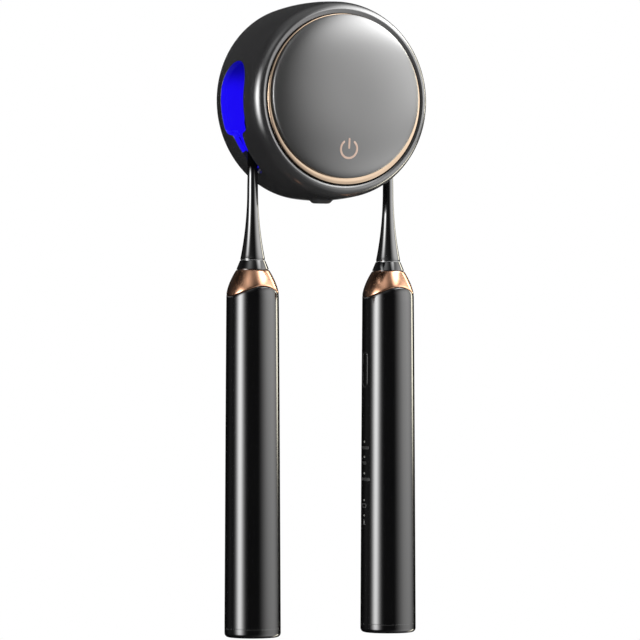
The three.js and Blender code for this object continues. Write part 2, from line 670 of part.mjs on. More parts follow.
// A domed cap above the centre, with a round spigot that is central and fits the trim ring.
function frontCover() {
  const skin = turnedAboutY([[0, coverRear], [coverRadius, coverRear], ...domeProfile(6)])
    .translate([0, 0, COVER_OFFSET]);
  const ceiling = domeProfile(4).map(([radius, depth]) => [radius, depth - COVER_WALL])
    .filter(([radius]) => radius < spigotInner - PAST);
  const inside = turnedAboutY([[0, coverRear - PAST], [spigotInner, coverRear - PAST],
    [spigotInner, domeDepth(spigotInner + COVER_OFFSET) - COVER_WALL], ...ceiling], SEG_INNER);
  const spigot = turnedAboutY(closed([
    [spigotInner, frameFront + SPIGOT_CLEARANCE], [spigotOuter, frameFront + SPIGOT_CLEARANCE],
    [spigotOuter, coverRear + OVERLAP], [spigotInner, coverRear + OVERLAP]]), SEG_INNER);
  const symbolHoles = symbolShapes(GAP / 2).map((shape) =>
    extrudeAlongY(shape, coverRear - PAST, coverFront + PAST, 8));
  return cut(join(skin.subtract(inside), spigot), ...symbolHoles);
}

// The power symbol as shapes in (x, z): an open ring with a bar in its gap.
function symbolShapes(growth) {
  const half = SYMBOL_STROKE / 2 + growth;
  const open = THREE.MathUtils.degToRad(SYMBOL_OPENING / 2) - growth / SYMBOL_RADIUS;
  const start = Math.PI / 2 + open;
  const end = 2.5 * Math.PI - open;
  const ring = new THREE.Shape();
  ring.absarc(0, symbolHeight, SYMBOL_RADIUS + half, start, end, false);
  ring.absarc(0, symbolHeight, SYMBOL_RADIUS - half, end, start, true);
  ring.closePath();
  const barMiddle = symbolHeight + SYMBOL_RADIUS + SYMBOL_BAR_RISE - SYMBOL_BAR / 2;
  return [ring, pill(2 * half, SYMBOL_BAR + 2 * growth, [0, barMiddle])];
}

// The light guide stands on the touch board; its raised symbol fills the holes in the cover.
function symbolGuide() {
  const raised = symbolShapes(0).map((shape) =>
    extrudeAlongY(shape, coverRear, coverFront + PAST, 8).intersect(underDome(0)));
  const foot = circle(SYMBOL_RADIUS + SYMBOL_FOOT, [0, symbolHeight]);
  const block = extrudeAlongY(foot, touchFront + GAP, coverFront, 8)
    .intersect(underDome(COVER_WALL + GAP));
  return join(block, ...raised);
}

// Everything behind the dome, sunk by a distance.
function underDome(sunk) {
  const profile = domeProfile(6).map(([radius, depth]) => [radius, depth - sunk]);
  return turnedAboutY([[0, frameFront], [coverRadius, frameFront], ...profile])
    .translate([0, 0, COVER_OFFSET]);
}

// ---------------------------------------------------------------- inside the steriliser

const touchBoard = () => discY(touchRadius, frameFront + GAP, touchFront, SEG_INNER);

function mainBoard() {
  const halfWidth = lampFace - UV_BOARD_THICKNESS - MAIN_BOARD_MARGIN;
  const halfHeight = postZ - POST_RADIUS - MAIN_BOARD_MARGIN;
  const front = -frameRear + GAP;
  const rear = front + BOARD_THICKNESS;
  const chips = MAIN_CHIPS.map(([width, height, thickness, x, z]) =>
    box([x - width / 2, x + width / 2], [rear - OVERLAP, rear + thickness],
      [z - height / 2, z + height / 2]));
  return join(box([-halfWidth, halfWidth], [front, rear], [-halfHeight, halfHeight]), ...chips);
}

// A cell standing upright: plain below, with a raised cap at its upper end.
function cell(radius, length, edge, capRadius, capHeight, top) {
  return turnedAboutZ([
    [0, top - length], [radius - edge, top - length], [radius, top - length + edge],
    [radius, top - capHeight - edge], [radius - edge, top - capHeight], [capRadius, top - capHeight],
    [capRadius, top], [0, top]], SEG_ROD);
}

const batteryCell = () => cell(CELL_RADIUS, cellLength, CELL_EDGE, CELL_CAP_RADIUS,
  CELL_CAP_HEIGHT, cellLength / 2).translate([0, -cellDepth, 0]);

function batteryHolder() {
  const pocket = CELL_RADIUS + GAP;
  const outer = pocket + HOLDER_WALL;
  const rear = -cellDepth + outer;
  const front = rear - HOLDER_DEPTH - HOLDER_WALL;
  const half = cellLength / 2 + GAP;
  const end = half + HOLDER_WALL;
  const footHalf = cellLength / 2 - HOLDER_FOOT_INSET;
  const block = box([-outer, outer], [front, rear], [-end, end]);
  const foot = box([-HOLDER_FOOT_WIDTH / 2, HOLDER_FOOT_WIDTH / 2],
    [rear - OVERLAP, -floorFront - GAP], [-footHalf, footHalf]);
  const trough = rodZ(pocket, -half, half).translate([0, -cellDepth, 0]);
  const endHoles = rodZ(HOLDER_END_HOLE, -end - PAST, end + PAST).translate([0, -cellDepth, 0]);
  return cut(join(block, foot), trough, endHoles);
}

// The right chamber as one solid, grown by a distance and cut to a radius: a wide room, with a
// narrow chute for the brush's neck below it.
function chamber(growth, radius) {
  const far = SHELL_RADIUS + PAST;
  const chuteHalf = CHUTE_WIDTH / 2 + growth;
  const room = box([chamberInnerX - growth, far], [-chamberFront - growth, -chamberRear + growth],
    [CHAMBER_FLOOR - growth, chamberTop + growth]);
  const chute = box([chuteInnerX - growth, far], [-brushDepth - chuteHalf, -brushDepth + chuteHalf],
    [-SHELL_RADIUS, CHAMBER_FLOOR + PAST]);
  return join(room, chute).intersect(discY(radius, 0, ringFront));
}

function chamberLiner() {
  const hollow = chamber(0, SHELL_RADIUS + PAST);
  const lensHole = extrudeAlongX(
    pill(LENS_WIDTH + 2 * GAP, LENS_HEIGHT + 2 * GAP, [-brushDepth, lensHeight]),
    lampFace - PAST, chamberInnerX + PAST);
  const lipTop = CHAMBER_FLOOR + LIP_HEIGHT;
  const lipOuter = Math.sqrt(fitRadius ** 2 - lipTop ** 2);
  const lip = box([lipOuter - LIP_WIDTH, lipOuter],
    [-chamberFront - OVERLAP, -chamberRear + OVERLAP], [CHAMBER_FLOOR - OVERLAP, lipTop])
    .intersect(discY(fitRadius, 0, ringFront));
  const way = box([chuteInnerX, SHELL_RADIUS],
    [-brushDepth - FUNNEL_WIDTH / 2, -brushDepth + FUNNEL_WIDTH / 2],
    [CHAMBER_FLOOR - PAST, lipTop + PAST]);
  return cut(join(chamber(LINER_WALL, fitRadius).subtract(hollow), lip.subtract(way)), lensHole);
}

const uvLens = () => extrudeAlongX(pill(LENS_WIDTH, LENS_HEIGHT, [-brushDepth, lensHeight]),
  chamberInnerX - LINER_WALL, chamberInnerX - LINER_WALL + LENS_THICKNESS);

const uvBoard = () => box([lampFace - UV_BOARD_THICKNESS, lampFace],
  [-brushDepth - UV_BOARD_WIDTH / 2, -brushDepth + UV_BOARD_WIDTH / 2],
  [lensHeight - UV_BOARD_HEIGHT / 2, lensHeight + UV_BOARD_HEIGHT / 2]);

// ---------------------------------------------------------------- charging port

const portPill = (width, thickness) => flatPill(width, thickness, [0, -brushDepth]);

const portHole = () => extrudeAlongZ(portPill(PORT_WIDTH, PORT_THICKNESS),
  -SHELL_RADIUS - PAST, -fitRadius + 2 * PAST);

const chargingSocket = () => cut(
  extrudeAlongZ(portPill(socketWidth, socketThickness), socketMouth, socketTop),
  extrudeAlongZ(portPill(socketWidth - 2 * SOCKET_WALL, socketThickness - 2 * SOCKET_WALL),
    socketMouth - PAST, socketTop - SOCKET_FLOOR));

const socketBoard = () => box([-SOCKET_BOARD_WIDTH / 2, SOCKET_BOARD_WIDTH / 2],
  [-frameRear + GAP, -brushDepth + SOCKET_BOARD_REAR],
  [socketTop + GAP, socketBoardTop]);

// A soft cover under the shell: a rounded boss with a neck in the hole and a tongue in the socket.
function portCover() {
  const bottom = -SHELL_RADIUS - GAP - PLUG_HEIGHT;
  const flat = portPill(PLUG_WIDTH - 2 * PLUG_TAPER, PLUG_THICKNESS - 2 * PLUG_TAPER);
  const rounded = solid(new THREE.ExtrudeGeometry(flat, {
    depth: 2 * PLUG_HEIGHT, curveSegments: 5, bevelSegments: PLUG_STEPS,
    bevelSize: PLUG_TAPER, bevelThickness: PLUG_HEIGHT,
  }).translate(0, 0, bottom + PLUG_HEIGHT));
  const boss = rounded.subtract(discY(SHELL_RADIUS + GAP, 0, ringFront));
  const neck = extrudeAlongZ(portPill(socketWidth, socketThickness),
    bottom + PLUG_HEIGHT / 2, socketMouth - GAP);
  const inset = 2 * (SOCKET_WALL + TONGUE_CLEARANCE);
  const tongue = extrudeAlongZ(portPill(socketWidth - inset, socketThickness - inset),
    bottom + PLUG_HEIGHT / 2, socketMouth + PLUG_TONGUE);
  return join(boss, neck, tongue);
}

// ---------------------------------------------------------------- brush: nose, collar and handle

// Everything below the wavy joint between collar and handle, lowered by a distance. Its upper face
// is a fan from the axis to a rim far outside the handle, so the rim swings by as many times more.
function belowWave(drop) {
  const reach = 3;
  const radius = reach * HANDLE_TOP_RADIUS;
  const top = waveHeight - drop;
  const geometry = new THREE.CylinderGeometry(radius, radius, HANDLE_LENGTH, SEG_HANDLE)
    .rotateX(Math.PI / 2).translate(0, 0, top - HANDLE_LENGTH / 2);
  const position = geometry.getAttribute('position');
  for (let i = 0; i < position.count; i += 1) {
    const [x, y, z] = [position.getX(i), position.getY(i), position.getZ(i)];
    const onUpperRim = Math.hypot(x, y) > radius / 2 && z > top - PAST;
    const wave = reach * WAVE_SWING * Math.cos(2 * Math.atan2(y, x));
    if (onUpperRim) position.setZ(i, z - wave);
  }
  return solid(geometry);
}

// A turned wall that follows the outside of the brush between two heights.
function handleWall(top, bottom, rows) {
  const heights = Array.from({ length: rows + 1 }, (_, i) => top + (bottom - top) * (i / rows));
  const outside = heights.map((z) => [outerRadius(z), z]);
  const inside = heights.filter((_, i) => i % 2 === 0 || i === rows)
    .map((z) => [wallRadius(z), z]).reverse();
  return turnedAboutZ(closed([...outside, ...inside]));
}

const collar = () => handleWall(collarTop, waveHeight - WAVE_SWING - PAST, 5)
  .subtract(belowWave(-GAP / 2));

function handleShell() {
  const wall = join(handleWall(waveHeight + WAVE_SWING + PAST, collarShoulder, 2),
    handleWall(collarShoulder, capTop + GAP, 3)).intersect(belowWave(GAP / 2));
  const buttonHole = extrudeAlongX(pill(BUTTON_WIDTH + 2 * BUTTON_CLEARANCE,
    BUTTON_LENGTH + 2 * BUTTON_CLEARANCE, [0, buttonHeight]), chassisFront, HANDLE_BASE_RADIUS + PAST);
  const lightHoles = lightHeights.map((z) =>
    rodX(LIGHT_RADIUS + GAP / 2, chassisFront, HANDLE_BASE_RADIUS + PAST, z));
  return cut(wall, buttonHole, ...lightHoles);
}

// The nose carries the shaft's seal and closes the collar; its flange sits inside the handle.
function nose() {
  const spigot = NOSE_TOP_RADIUS - NOSE_SPIGOT;
  const flange = wallRadius(flangeTop) - GAP;
  const pocketFloor = noseTop - SEAL_LENGTH - 2 * GAP;
  return turnedAboutZ(closed([
    [sealPocket, noseTop], [NOSE_TOP_RADIUS, noseTop], [NOSE_BOTTOM_RADIUS, noseBottom],
    [spigot, noseBottom], [spigot, flangeTop + NOSE_CONE], [flange, flangeTop],
    [flange, flangeBottom], [boreRadius, flangeBottom], [boreRadius, pocketFloor],
    [sealPocket, pocketFloor]]), SEG_ROD);
}

// The head's bore, the seal and the nose's bore all clear the shaft by the same gap.
const shaftSeal = () => tubeZ(boreRadius, SEAL_RADIUS, noseTop - GAP - SEAL_LENGTH, noseTop - GAP);

const driveShaft = () => turnedAboutZ([
  [0, shaftTop], [SHAFT_RADIUS - SHAFT_CHAMFER, shaftTop], [SHAFT_RADIUS, shaftTop - SHAFT_CHAMFER],
  [SHAFT_RADIUS, chassisTop], [SHAFT_GRIP, chassisTop],
  [SHAFT_GRIP, motorTop + GAP], [0, motorTop + GAP]], SEG_SMALL);

// ---------------------------------------------------------------- brush: inside the handle

const brushMotor = () => turnedAboutZ([
  [0, motorTop], [MOTOR_RADIUS - MOTOR_EDGE, motorTop], [MOTOR_RADIUS, motorTop - MOTOR_EDGE],
  [MOTOR_RADIUS, motorBottom + MOTOR_EDGE], [MOTOR_RADIUS - MOTOR_EDGE, motorBottom],
  [0, motorBottom]], SEG_ROD);

const brushCell = () => cell(BRUSH_CELL_RADIUS, BRUSH_CELL_LENGTH, BRUSH_CELL_EDGE,
  BRUSH_CELL_RADIUS / 2, BRUSH_CELL_CAP, brushCellTop);

// A rod with a flat front and open bays for the motor, the cell and the wiring to the coil.
function chassis() {
  const front = box([chassisFront, chassisRadius + PAST],
    [-chassisRadius - PAST, chassisRadius + PAST], [chassisBottom - PAST, chassisTop + PAST]);
  const throat = rodZ(SHAFT_GRIP + GAP, motorTop - PAST, chassisTop + PAST);
  const bay = (radius, low, high) => join(rodZ(radius, low, high),
    box([0, chassisRadius + PAST], [-radius, radius], [low, high]));
  return cut(rodZ(chassisRadius, chassisBottom, chassisTop, SEG_HANDLE), front, throat,
    bay(MOTOR_RADIUS + GAP, motorBottom - GAP, motorTop + GAP),
    bay(BRUSH_CELL_RADIUS + GAP, brushCellBottom - GAP, brushCellTop + GAP),
    bay(BRUSH_CELL_RADIUS + GAP, chassisBottom + BULKHEAD, brushCellBottom - BULKHEAD));
}

function controlBoard() {
  const top = buttonHeight + CONTROL_BOARD_RISE;
  const board = box([chassisFront + GAP, boardFront],
    [-CONTROL_BOARD_WIDTH / 2, CONTROL_BOARD_WIDTH / 2], [top - CONTROL_BOARD_LENGTH, top]);
  const half = SWITCH_WIDTH / 2;
  return board.add(box([boardFront - OVERLAP, switchTop], [-half, half],
    [buttonHeight - half, buttonHeight + half]));
}

// The button's face follows the handle; a flange inside the wall keeps it from falling out.
function button() {
  const face = rodZ(outerRadius(buttonHeight) - BUTTON_SINK,
    buttonHeight - BUTTON_LENGTH, buttonHeight + BUTTON_LENGTH, 2 * SEG_HANDLE);
  const stem = extrudeAlongX(pill(BUTTON_WIDTH, BUTTON_LENGTH, [0, buttonHeight]),
    buttonBack, HANDLE_BASE_RADIUS);
  const flange = extrudeAlongX(pill(2 * buttonReach, BUTTON_LENGTH + 2 * BUTTON_FLANGE,
    [0, buttonHeight]), buttonBack, buttonFlangeFront);
  return join(stem.intersect(face), flange);
}

// A bar behind the wall with a round light point in each hole.
function lightGuide() {
  const high = Math.max(...lightHeights) + LIGHT_BAR_END;
  const low = Math.min(...lightHeights) - LIGHT_BAR_END;
  const half = LIGHT_BAR_WIDTH / 2;
  const front = Math.sqrt((wallRadius(high) - GAP) ** 2 - half ** 2);
  const bar = box([boardFront + GAP, front], [-half, half], [low, high]);
  return join(bar, ...lightHeights.map((z) =>
    rodX(LIGHT_RADIUS, front - OVERLAP, outerRadius(z), z)));
}

// ---------------------------------------------------------------- brush: base

function baseCap() {
  const corner = quarterArc([outerRadius(capTop), capTop],
    [outerRadius(capTop) - HANDLE_CORNER, handleBase], 3).reverse();
  const grooveLow = capTop + SEAL_RISE;
  const grooveHigh = grooveLow + 2 * (SEAL_SECTION + GAP);
  return turnedAboutZ([
    [0, handleBase], ...corner, [capSpigotRadius, capTop],
    [capSpigotRadius, grooveLow], [capGroove, grooveLow], [capGroove, grooveHigh],
    [capSpigotRadius, grooveHigh], [capSpigotRadius, capSpigotTop], [capBore, capSpigotTop],
    [capBore, handleBase + CAP_FLOOR], [0, handleBase + CAP_FLOOR]]);
}

function baseSeal() {
  const middle = capSpigotRadius - SEAL_SECTION;
  const section = Array.from({ length: SEAL_SIDES }, (_, i) => {
    const angle = (2 * Math.PI * i) / SEAL_SIDES;
    return [middle + SEAL_SECTION * Math.cos(angle), sealHeight + SEAL_SECTION * Math.sin(angle)];
  });
  return turnedAboutZ(closed(section), SEG_ROD);
}

function chargingCoil() {
  const low = handleBase + CAP_FLOOR + GAP;
  return tubeZ(capBore - GAP - COIL_WIDTH, capBore - GAP, low, low + COIL_HEIGHT);
}

// ---------------------------------------------------------------- brush: head and bristles

// The head's outline in (y, z): straight sides, a round tip and shoulders down to the neck.
function headShape() {
  const half = HEAD_WIDTH / 2;
  const shape = new THREE.Shape();
  shape.moveTo(half, headBottom);
  shape.absellipse(0, headTop, half, HEAD_TIP, 0, Math.PI, false);
  shape.lineTo(-half, headBottom);
  shape.lineTo(-NECK_RADIUS, neckTop);
  shape.lineTo(NECK_RADIUS, neckTop);
  return shape;
}

const tuftPlate = (growth) => pill(
  (TUFT_COLUMNS - 1) * TUFT_PITCH + 2 * (TUFT_RADIUS + TUFT_PLATE_EDGE + growth),
  (TUFT_ROWS - 1) * TUFT_PITCH + 2 * (TUFT_RADIUS + TUFT_PLATE_EDGE + growth), [0, tuftHeight]);

function brushHead() {
  const rows = 7;
  const neckProfile = Array.from({ length: rows + 1 }, (_, i) => {
    const z = neckTop - NECK_LENGTH * (i / rows);
    return [neckRadius(z), z];
  });
  const neckEnd = neckTop + HEAD_TAPER / 2;
  const neck = turnedAboutZ([[0, neckEnd], [HEAD_FRONT, neckEnd], ...neckProfile,
    [boreRadius, neckBase], [boreRadius, shaftTop + GAP], [0, shaftTop + GAP + BORE_TIP]], SEG_ROD);
  const arcRadius = (HEAD_WIDTH ** 2 / 4 + HEAD_BACK ** 2) / (2 * HEAD_BACK) + HEAD_CROWN;
  const back = rodZ(arcRadius, neckTop - PAST, headTop + HEAD_TIP + PAST, 2 * SEG_HANDLE)
    .translate([arcRadius - HEAD_BACK, 0, 0]);
  const paddle = extrudeAlongX(headShape(), -HEAD_BACK, HEAD_FRONT).intersect(back);
  const pocket = extrudeAlongX(tuftPlate(GAP), HEAD_FRONT - TUFT_PLATE_DEPTH - GAP, HEAD_FRONT + PAST);
  return join(neck, paddle).subtract(pocket);
}

// The middle of each tuft in (y, z); the end rows are two tufts shorter to follow the oval head.
function tuftPlaces() {
  const places = [];
  for (let row = 0; row < TUFT_ROWS; row += 1) {
    const isEnd = row === 0 || row === TUFT_ROWS - 1;
    const columns = isEnd ? TUFT_COLUMNS - 2 : TUFT_COLUMNS;
    for (let column = 0; column < columns; column += 1) {
      places.push([(column - (columns - 1) / 2) * TUFT_PITCH,
        tuftHeight + (row - (TUFT_ROWS - 1) / 2) * TUFT_PITCH]);
    }
  }
  return places;
}

function bristleBlock() {
  const length = TUFT_LENGTH + OVERLAP;
  const plate = extrudeAlongX(tuftPlate(0), HEAD_FRONT - TUFT_PLATE_DEPTH, HEAD_FRONT);
  const tufts = tuftPlaces().map(([y, z]) =>
    solid(new THREE.CylinderGeometry(TUFT_RADIUS, TUFT_RADIUS, length, TUFT_SIDES)
      .rotateZ(Math.PI / 2).translate(HEAD_FRONT - OVERLAP + length / 2, y, z)));
  return join(plate, ...tufts);
}

// ---------------------------------------------------------------- assembly

const steriliser = new THREE.Group();
steriliser.add(
  meshOf('adhesive_pad', adhesivePad(), foam),
  meshOf('wall_plate', wallPlate(), greyPlastic),
  meshOf('rear_cover', rearCover(), darkPlastic),
  meshOf('shell', shell(), gunmetal),
  meshOf('trim_ring', trimRing(), champagne),
  meshOf('front_cover', frontCover(), coverGrey),
  meshOf('symbol_light_guide', symbolGuide(), symbolCopper),
  meshOf('front_frame', frontFrame(), greyPlastic),
  meshOf('touch_board', touchBoard(), boardGreen),
  meshOf('main_board', mainBoard(), boardGreen),
  meshOf('battery_holder', batteryHolder(), darkPlastic),
  meshOf('battery_cell', batteryCell(), cellBlue),
  meshOf('charging_socket', chargingSocket(), steel),
  meshOf('socket_board', socketBoard(), boardGreen),
  meshOf('port_cover', portCover(), rubber));

postPlaces.forEach(([x, z], index) => {
  const screw = meshOf(`rear_screw_${index + 1}`, rearScrew(), steel);
  screw.position.set(x, 0, z);
  steriliser.add(screw);
});

for (const [name, side] of [['left', -1], ['right', 1]]) {
  steriliser.add(
    meshOf(`${name}_chamber_liner`, onSide(chamberLiner(), side), linerBlue),
    meshOf(`${name}_uv_lens`, onSide(uvLens(), side), quartz),
    meshOf(`${name}_uv_board`, onSide(uvBoard(), side), boardGreen));
}

const brushPieces = [
  ['head', brushHead(), glossBlack],
  ['bristles', bristleBlock(), bristle],
  ['drive_shaft', driveShaft(), steel],
  ['shaft_seal', shaftSeal(), rubber],
  ['nose', nose(), blackChrome],
  ['collar', collar(), roseGold],
  ['handle_shell', handleShell(), glossBlack],
  ['button', button(), glossBlack],
  ['light_guide', lightGuide(), lightPipe],
  ['chassis', chassis(), greyPlastic],
  ['motor', brushMotor(), steel],
  ['cell', brushCell(), cellBlue],
  ['control_board', controlBoard(), boardGreen],
  ['base_cap', baseCap(), glossBlack],
  ['base_seal', baseSeal(), rubber],
  ['charging_coil', chargingCoil(), copper],
];

// Both buttons face the middle, so the right brush is turned half round.
function brush(name, x, turn) {
  const group = new THREE.Group();
  for (const [piece, body, look] of brushPieces) group.add(meshOf(`${name}_${piece}`, body, look));
  group.position.set(x, -brushDepth, 0);
  group.rotation.z = turn;
  return group;
}

const part = new THREE.Group();
part.name = 'uv_toothbrush_steriliser';
part.add(steriliser, brush('left', -brushX, 0), brush('right', brushX, Math.PI));

export default part;
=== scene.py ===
import json
import math
import bpy
import bmesh
import numpy as np
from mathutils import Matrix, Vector, geometry

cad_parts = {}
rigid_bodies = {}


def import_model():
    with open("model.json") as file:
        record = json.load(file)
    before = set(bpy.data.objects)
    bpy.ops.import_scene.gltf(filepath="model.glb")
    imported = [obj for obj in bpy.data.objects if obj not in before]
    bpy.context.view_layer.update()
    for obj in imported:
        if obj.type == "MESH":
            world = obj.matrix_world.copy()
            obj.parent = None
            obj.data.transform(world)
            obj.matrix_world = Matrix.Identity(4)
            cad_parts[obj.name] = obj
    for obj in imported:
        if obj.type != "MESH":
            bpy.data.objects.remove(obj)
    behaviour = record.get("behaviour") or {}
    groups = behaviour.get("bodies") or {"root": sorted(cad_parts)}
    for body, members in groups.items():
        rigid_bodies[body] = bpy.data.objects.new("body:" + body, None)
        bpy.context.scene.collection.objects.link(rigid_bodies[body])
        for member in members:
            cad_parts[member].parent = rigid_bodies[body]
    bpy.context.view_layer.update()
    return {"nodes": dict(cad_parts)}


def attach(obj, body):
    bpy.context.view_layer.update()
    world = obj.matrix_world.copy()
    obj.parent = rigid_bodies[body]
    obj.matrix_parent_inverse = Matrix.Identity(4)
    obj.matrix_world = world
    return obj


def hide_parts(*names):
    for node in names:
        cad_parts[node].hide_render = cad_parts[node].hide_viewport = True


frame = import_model()
MM = 0.001

# ---------------------------------------------------------------- camera and studio
# The camera is level, 27 degrees to the steriliser's left, and stands well back.
VIEW = math.radians(-27.07)
TO_CAMERA = Vector((math.sin(VIEW), -math.cos(VIEW), 0))
CAMERA_RIGHT = Vector((math.cos(VIEW), math.sin(VIEW), 0))
AIM, CAMERA_DISTANCE = Vector((0, -0.020, -0.1194)), 1.822

camera_data = bpy.data.cameras.new("camera")
camera_data.lens = 213.5
camera_data.sensor_width = 36
camera_data.shift_x = -0.00184
camera_data.shift_y = 0.0465
camera = bpy.data.objects.new("camera", camera_data)
bpy.context.scene.collection.objects.link(camera)
camera.location = AIM + TO_CAMERA * CAMERA_DISTANCE
camera.rotation_euler = (math.pi / 2, 0, VIEW)
bpy.context.scene.camera = camera
bpy.context.scene.view_settings.view_transform = "Standard"


class Nodes:
    """Adds nodes to a tree with short calls; a value may be a number, a colour or a socket.
    An input is named by its socket's name, or by i and its number."""

    def __init__(self, tree):
        self.tree = tree

    def add(self, kind, settings=None, **inputs):
        node = self.tree.nodes.new(kind)
        for key, value in (settings or {}).items():
            setattr(node, key, value)
        for key, value in inputs.items():
            numbered = key[0] == "i" and key[1:].isdigit()
            self.set(node.inputs[int(key[1:]) if numbered else key.replace("_", " ")], value)
        return node

    def set(self, socket, value):
        if isinstance(value, bpy.types.NodeSocket):
            self.tree.links.new(value, socket)
        else:
            socket.default_value = value

    def math(self, operation, a, b=0.0, c=0.0):
        node = self.add("ShaderNodeMath", {"operation": operation}, i0=a, i1=b, i2=c)
        return node.outputs[0]

    def dot(self, a, b):
        return self.add("ShaderNodeVectorMath", {"operation": "DOT_PRODUCT"}, i0=a, i1=b).outputs["Value"]

    def bell(self, value, middle, width):
        """exp(-((value - middle) / width)^2 / 2)"""
        off = self.math("DIVIDE", self.math("SUBTRACT", value, middle), width)
        return self.math("EXPONENT", self.math("MULTIPLY", self.math("MULTIPLY", off, off), -0.5))

    def step(self, value, low, high):
        """0 below low, 1 above high, smooth between."""
        node = self.add("ShaderNodeMapRange", {"interpolation_type": "SMOOTHSTEP"}, i0=value, i1=low, i2=high)
        return node.outputs[0]

    def window(self, value, low, high, soft):
        """1 between low and high, 0 outside, with soft edges."""
        return self.math("MULTIPLY", self.step(value, low - soft, low + soft),
                         self.inverse(self.step(value, high - soft, high + soft)))

    def mix(self, factor, a, b, **settings):
        node = self.add("ShaderNodeMix", {"data_type": "RGBA", **settings}, i0=factor, i6=a, i7=b)
        return node.outputs[2]

    def height(self, place):
        """How high a place is, in millimetres."""
        return self.math("MULTIPLY", self.add("ShaderNodeSeparateXYZ", i0=place).outputs[2], 1000.0)

    def inverse(self, value):
        return self.math("SUBTRACT", 1.0, value)


# The world is the studio: soft boxes in a dark room, with a white backdrop behind the object.
# Angles are degrees from the camera's own direction, positive to its right, and above the level.
world = bpy.data.worlds.new("studio")
bpy.context.scene.world = world
world.use_nodes = True
world.cycles.sampling_method = "NONE"  # the soft boxes are for gloss; diffuse light stays even
world.node_tree.nodes.clear()
w = Nodes(world.node_tree)
direction = w.add("ShaderNodeTexCoord").outputs["Generated"]
turn = w.math("MULTIPLY", w.math("ARCTAN2", w.dot(direction, tuple(CAMERA_RIGHT)),
                                 w.dot(direction, tuple(TO_CAMERA))), 180 / math.pi)
rise = w.math("MULTIPLY", w.math("ARCSINE", w.dot(direction, (0, 0, 1))), 180 / math.pi)


def fall(low, high, floor_share):
    """A soft box that is dimmer towards its lower end."""
    return w.math("ADD", floor_share, w.math("MULTIPLY", w.step(rise, low, high), 1 - floor_share))


SOFT_BOXES = [  # name, colour, strength, then functions of turn and rise that are multiplied
    ("room", (1, 1, 1), 0.06, lambda: [w.bell(turn, 0, 62)]),
    ("left strip", (1, 1, 1), 20.0, lambda: [w.bell(turn, -54, 10.2), w.window(rise, -16, 17, 15),
                                             fall(-5, 3, 0.78)]),
    ("left flank", (1, 1, 1), 0.11, lambda: [w.bell(turn, -103, 12), w.window(rise, -18, 24, 14)]),
    ("left overhead", (1, 1, 1), 1.5, lambda: [w.bell(turn, -28, 18), w.bell(rise, 46, 11)]),
    ("right wall", (1, 0.995, 0.99), 5.2, lambda: [w.window(turn, 50, 114, 27), w.window(rise, -36, 30, 16),
                                                   fall(-5, 3, 0.58)]),
    ("right low", (1, 1, 1), 0.9, lambda: [w.bell(turn, 80, 32), w.window(rise, -66, -16, 8)]),
    # the rim light is left out just below the level, so that it fades down the handles
    ("right rim", (1, 0.94, 0.76), 9.0, lambda: [w.window(turn, 126, 137, 2.5), w.window(rise, -40, 35, 10),
                                                 w.math("MAXIMUM", w.step(rise, -1.9, 0.1),
                                                        w.inverse(w.step(rise, -16, -10)))]),
    ("right top", (1, 1, 1), 3.3, lambda: [w.bell(turn, 98, 33), w.bell(rise, 57, 9)]),
    ("top", (1, 1, 1), 0.6, lambda: [w.step(rise, 40, 85)]),
    ("rear wall", (1, 1, 1), 0.055, lambda: [w.inverse(w.window(turn, -125, 125, 20)), w.step(rise, 2, 22)]),
    ("floor bounce", (1, 0.98, 0.96), 0.1, lambda: [w.inverse(w.step(rise, -80, -25))]),
]
DARK_ROOM, DIFFUSE_ROOM, WHITE = (0.006, 0.006, 0.006, 1), (0.9, 0.9, 0.9, 1), (1, 1, 1, 1)
total = DARK_ROOM
for _, colour, strength, shapes in SOFT_BOXES:
    share, *others = shapes()
    for other in others:
        share = w.math("MULTIPLY", share, other)
    lit = w.mix(share, (0, 0, 0, 1), tuple(c * strength for c in colour) + (1,))
    total = w.mix(1.0, total, lit, blend_type="ADD", clamp_result=False)
# The backdrop is white for the camera; gloss shows it where it hangs, behind the object.
rays = w.add("ShaderNodeLightPath").outputs
plain = w.mix(rays["Is Diffuse Ray"], total, DIFFUSE_ROOM)
backdrop = w.math("MULTIPLY", w.inverse(w.window(turn, -172, 172, 3)), w.window(rise, -4, 8, 1.5))
mirrored = w.math("MULTIPLY", rays["Is Glossy Ray"], backdrop)
seen = w.math("MAXIMUM", w.math("MAXIMUM", rays["Is Camera Ray"], rays["Is Transmission Ray"]), mirrored)
background = w.add("ShaderNodeBackground", Color=w.mix(seen, plain, WHITE), Strength=1.0)
world_out = w.add("ShaderNodeOutputWorld")
w.set(world_out.inputs[0], background.outputs[0])


# ---------------------------------------------------------------- materials
def linear(code):
    """A hexadecimal sRGB colour as linear values."""
    parts = [int(code[i:i + 2], 16) / 255 for i in (0, 2, 4)]
    return tuple(c / 12.92 if c <= 0.04045 else ((c + 0.055) / 1.055) ** 2.4 for c in parts) + (1,)


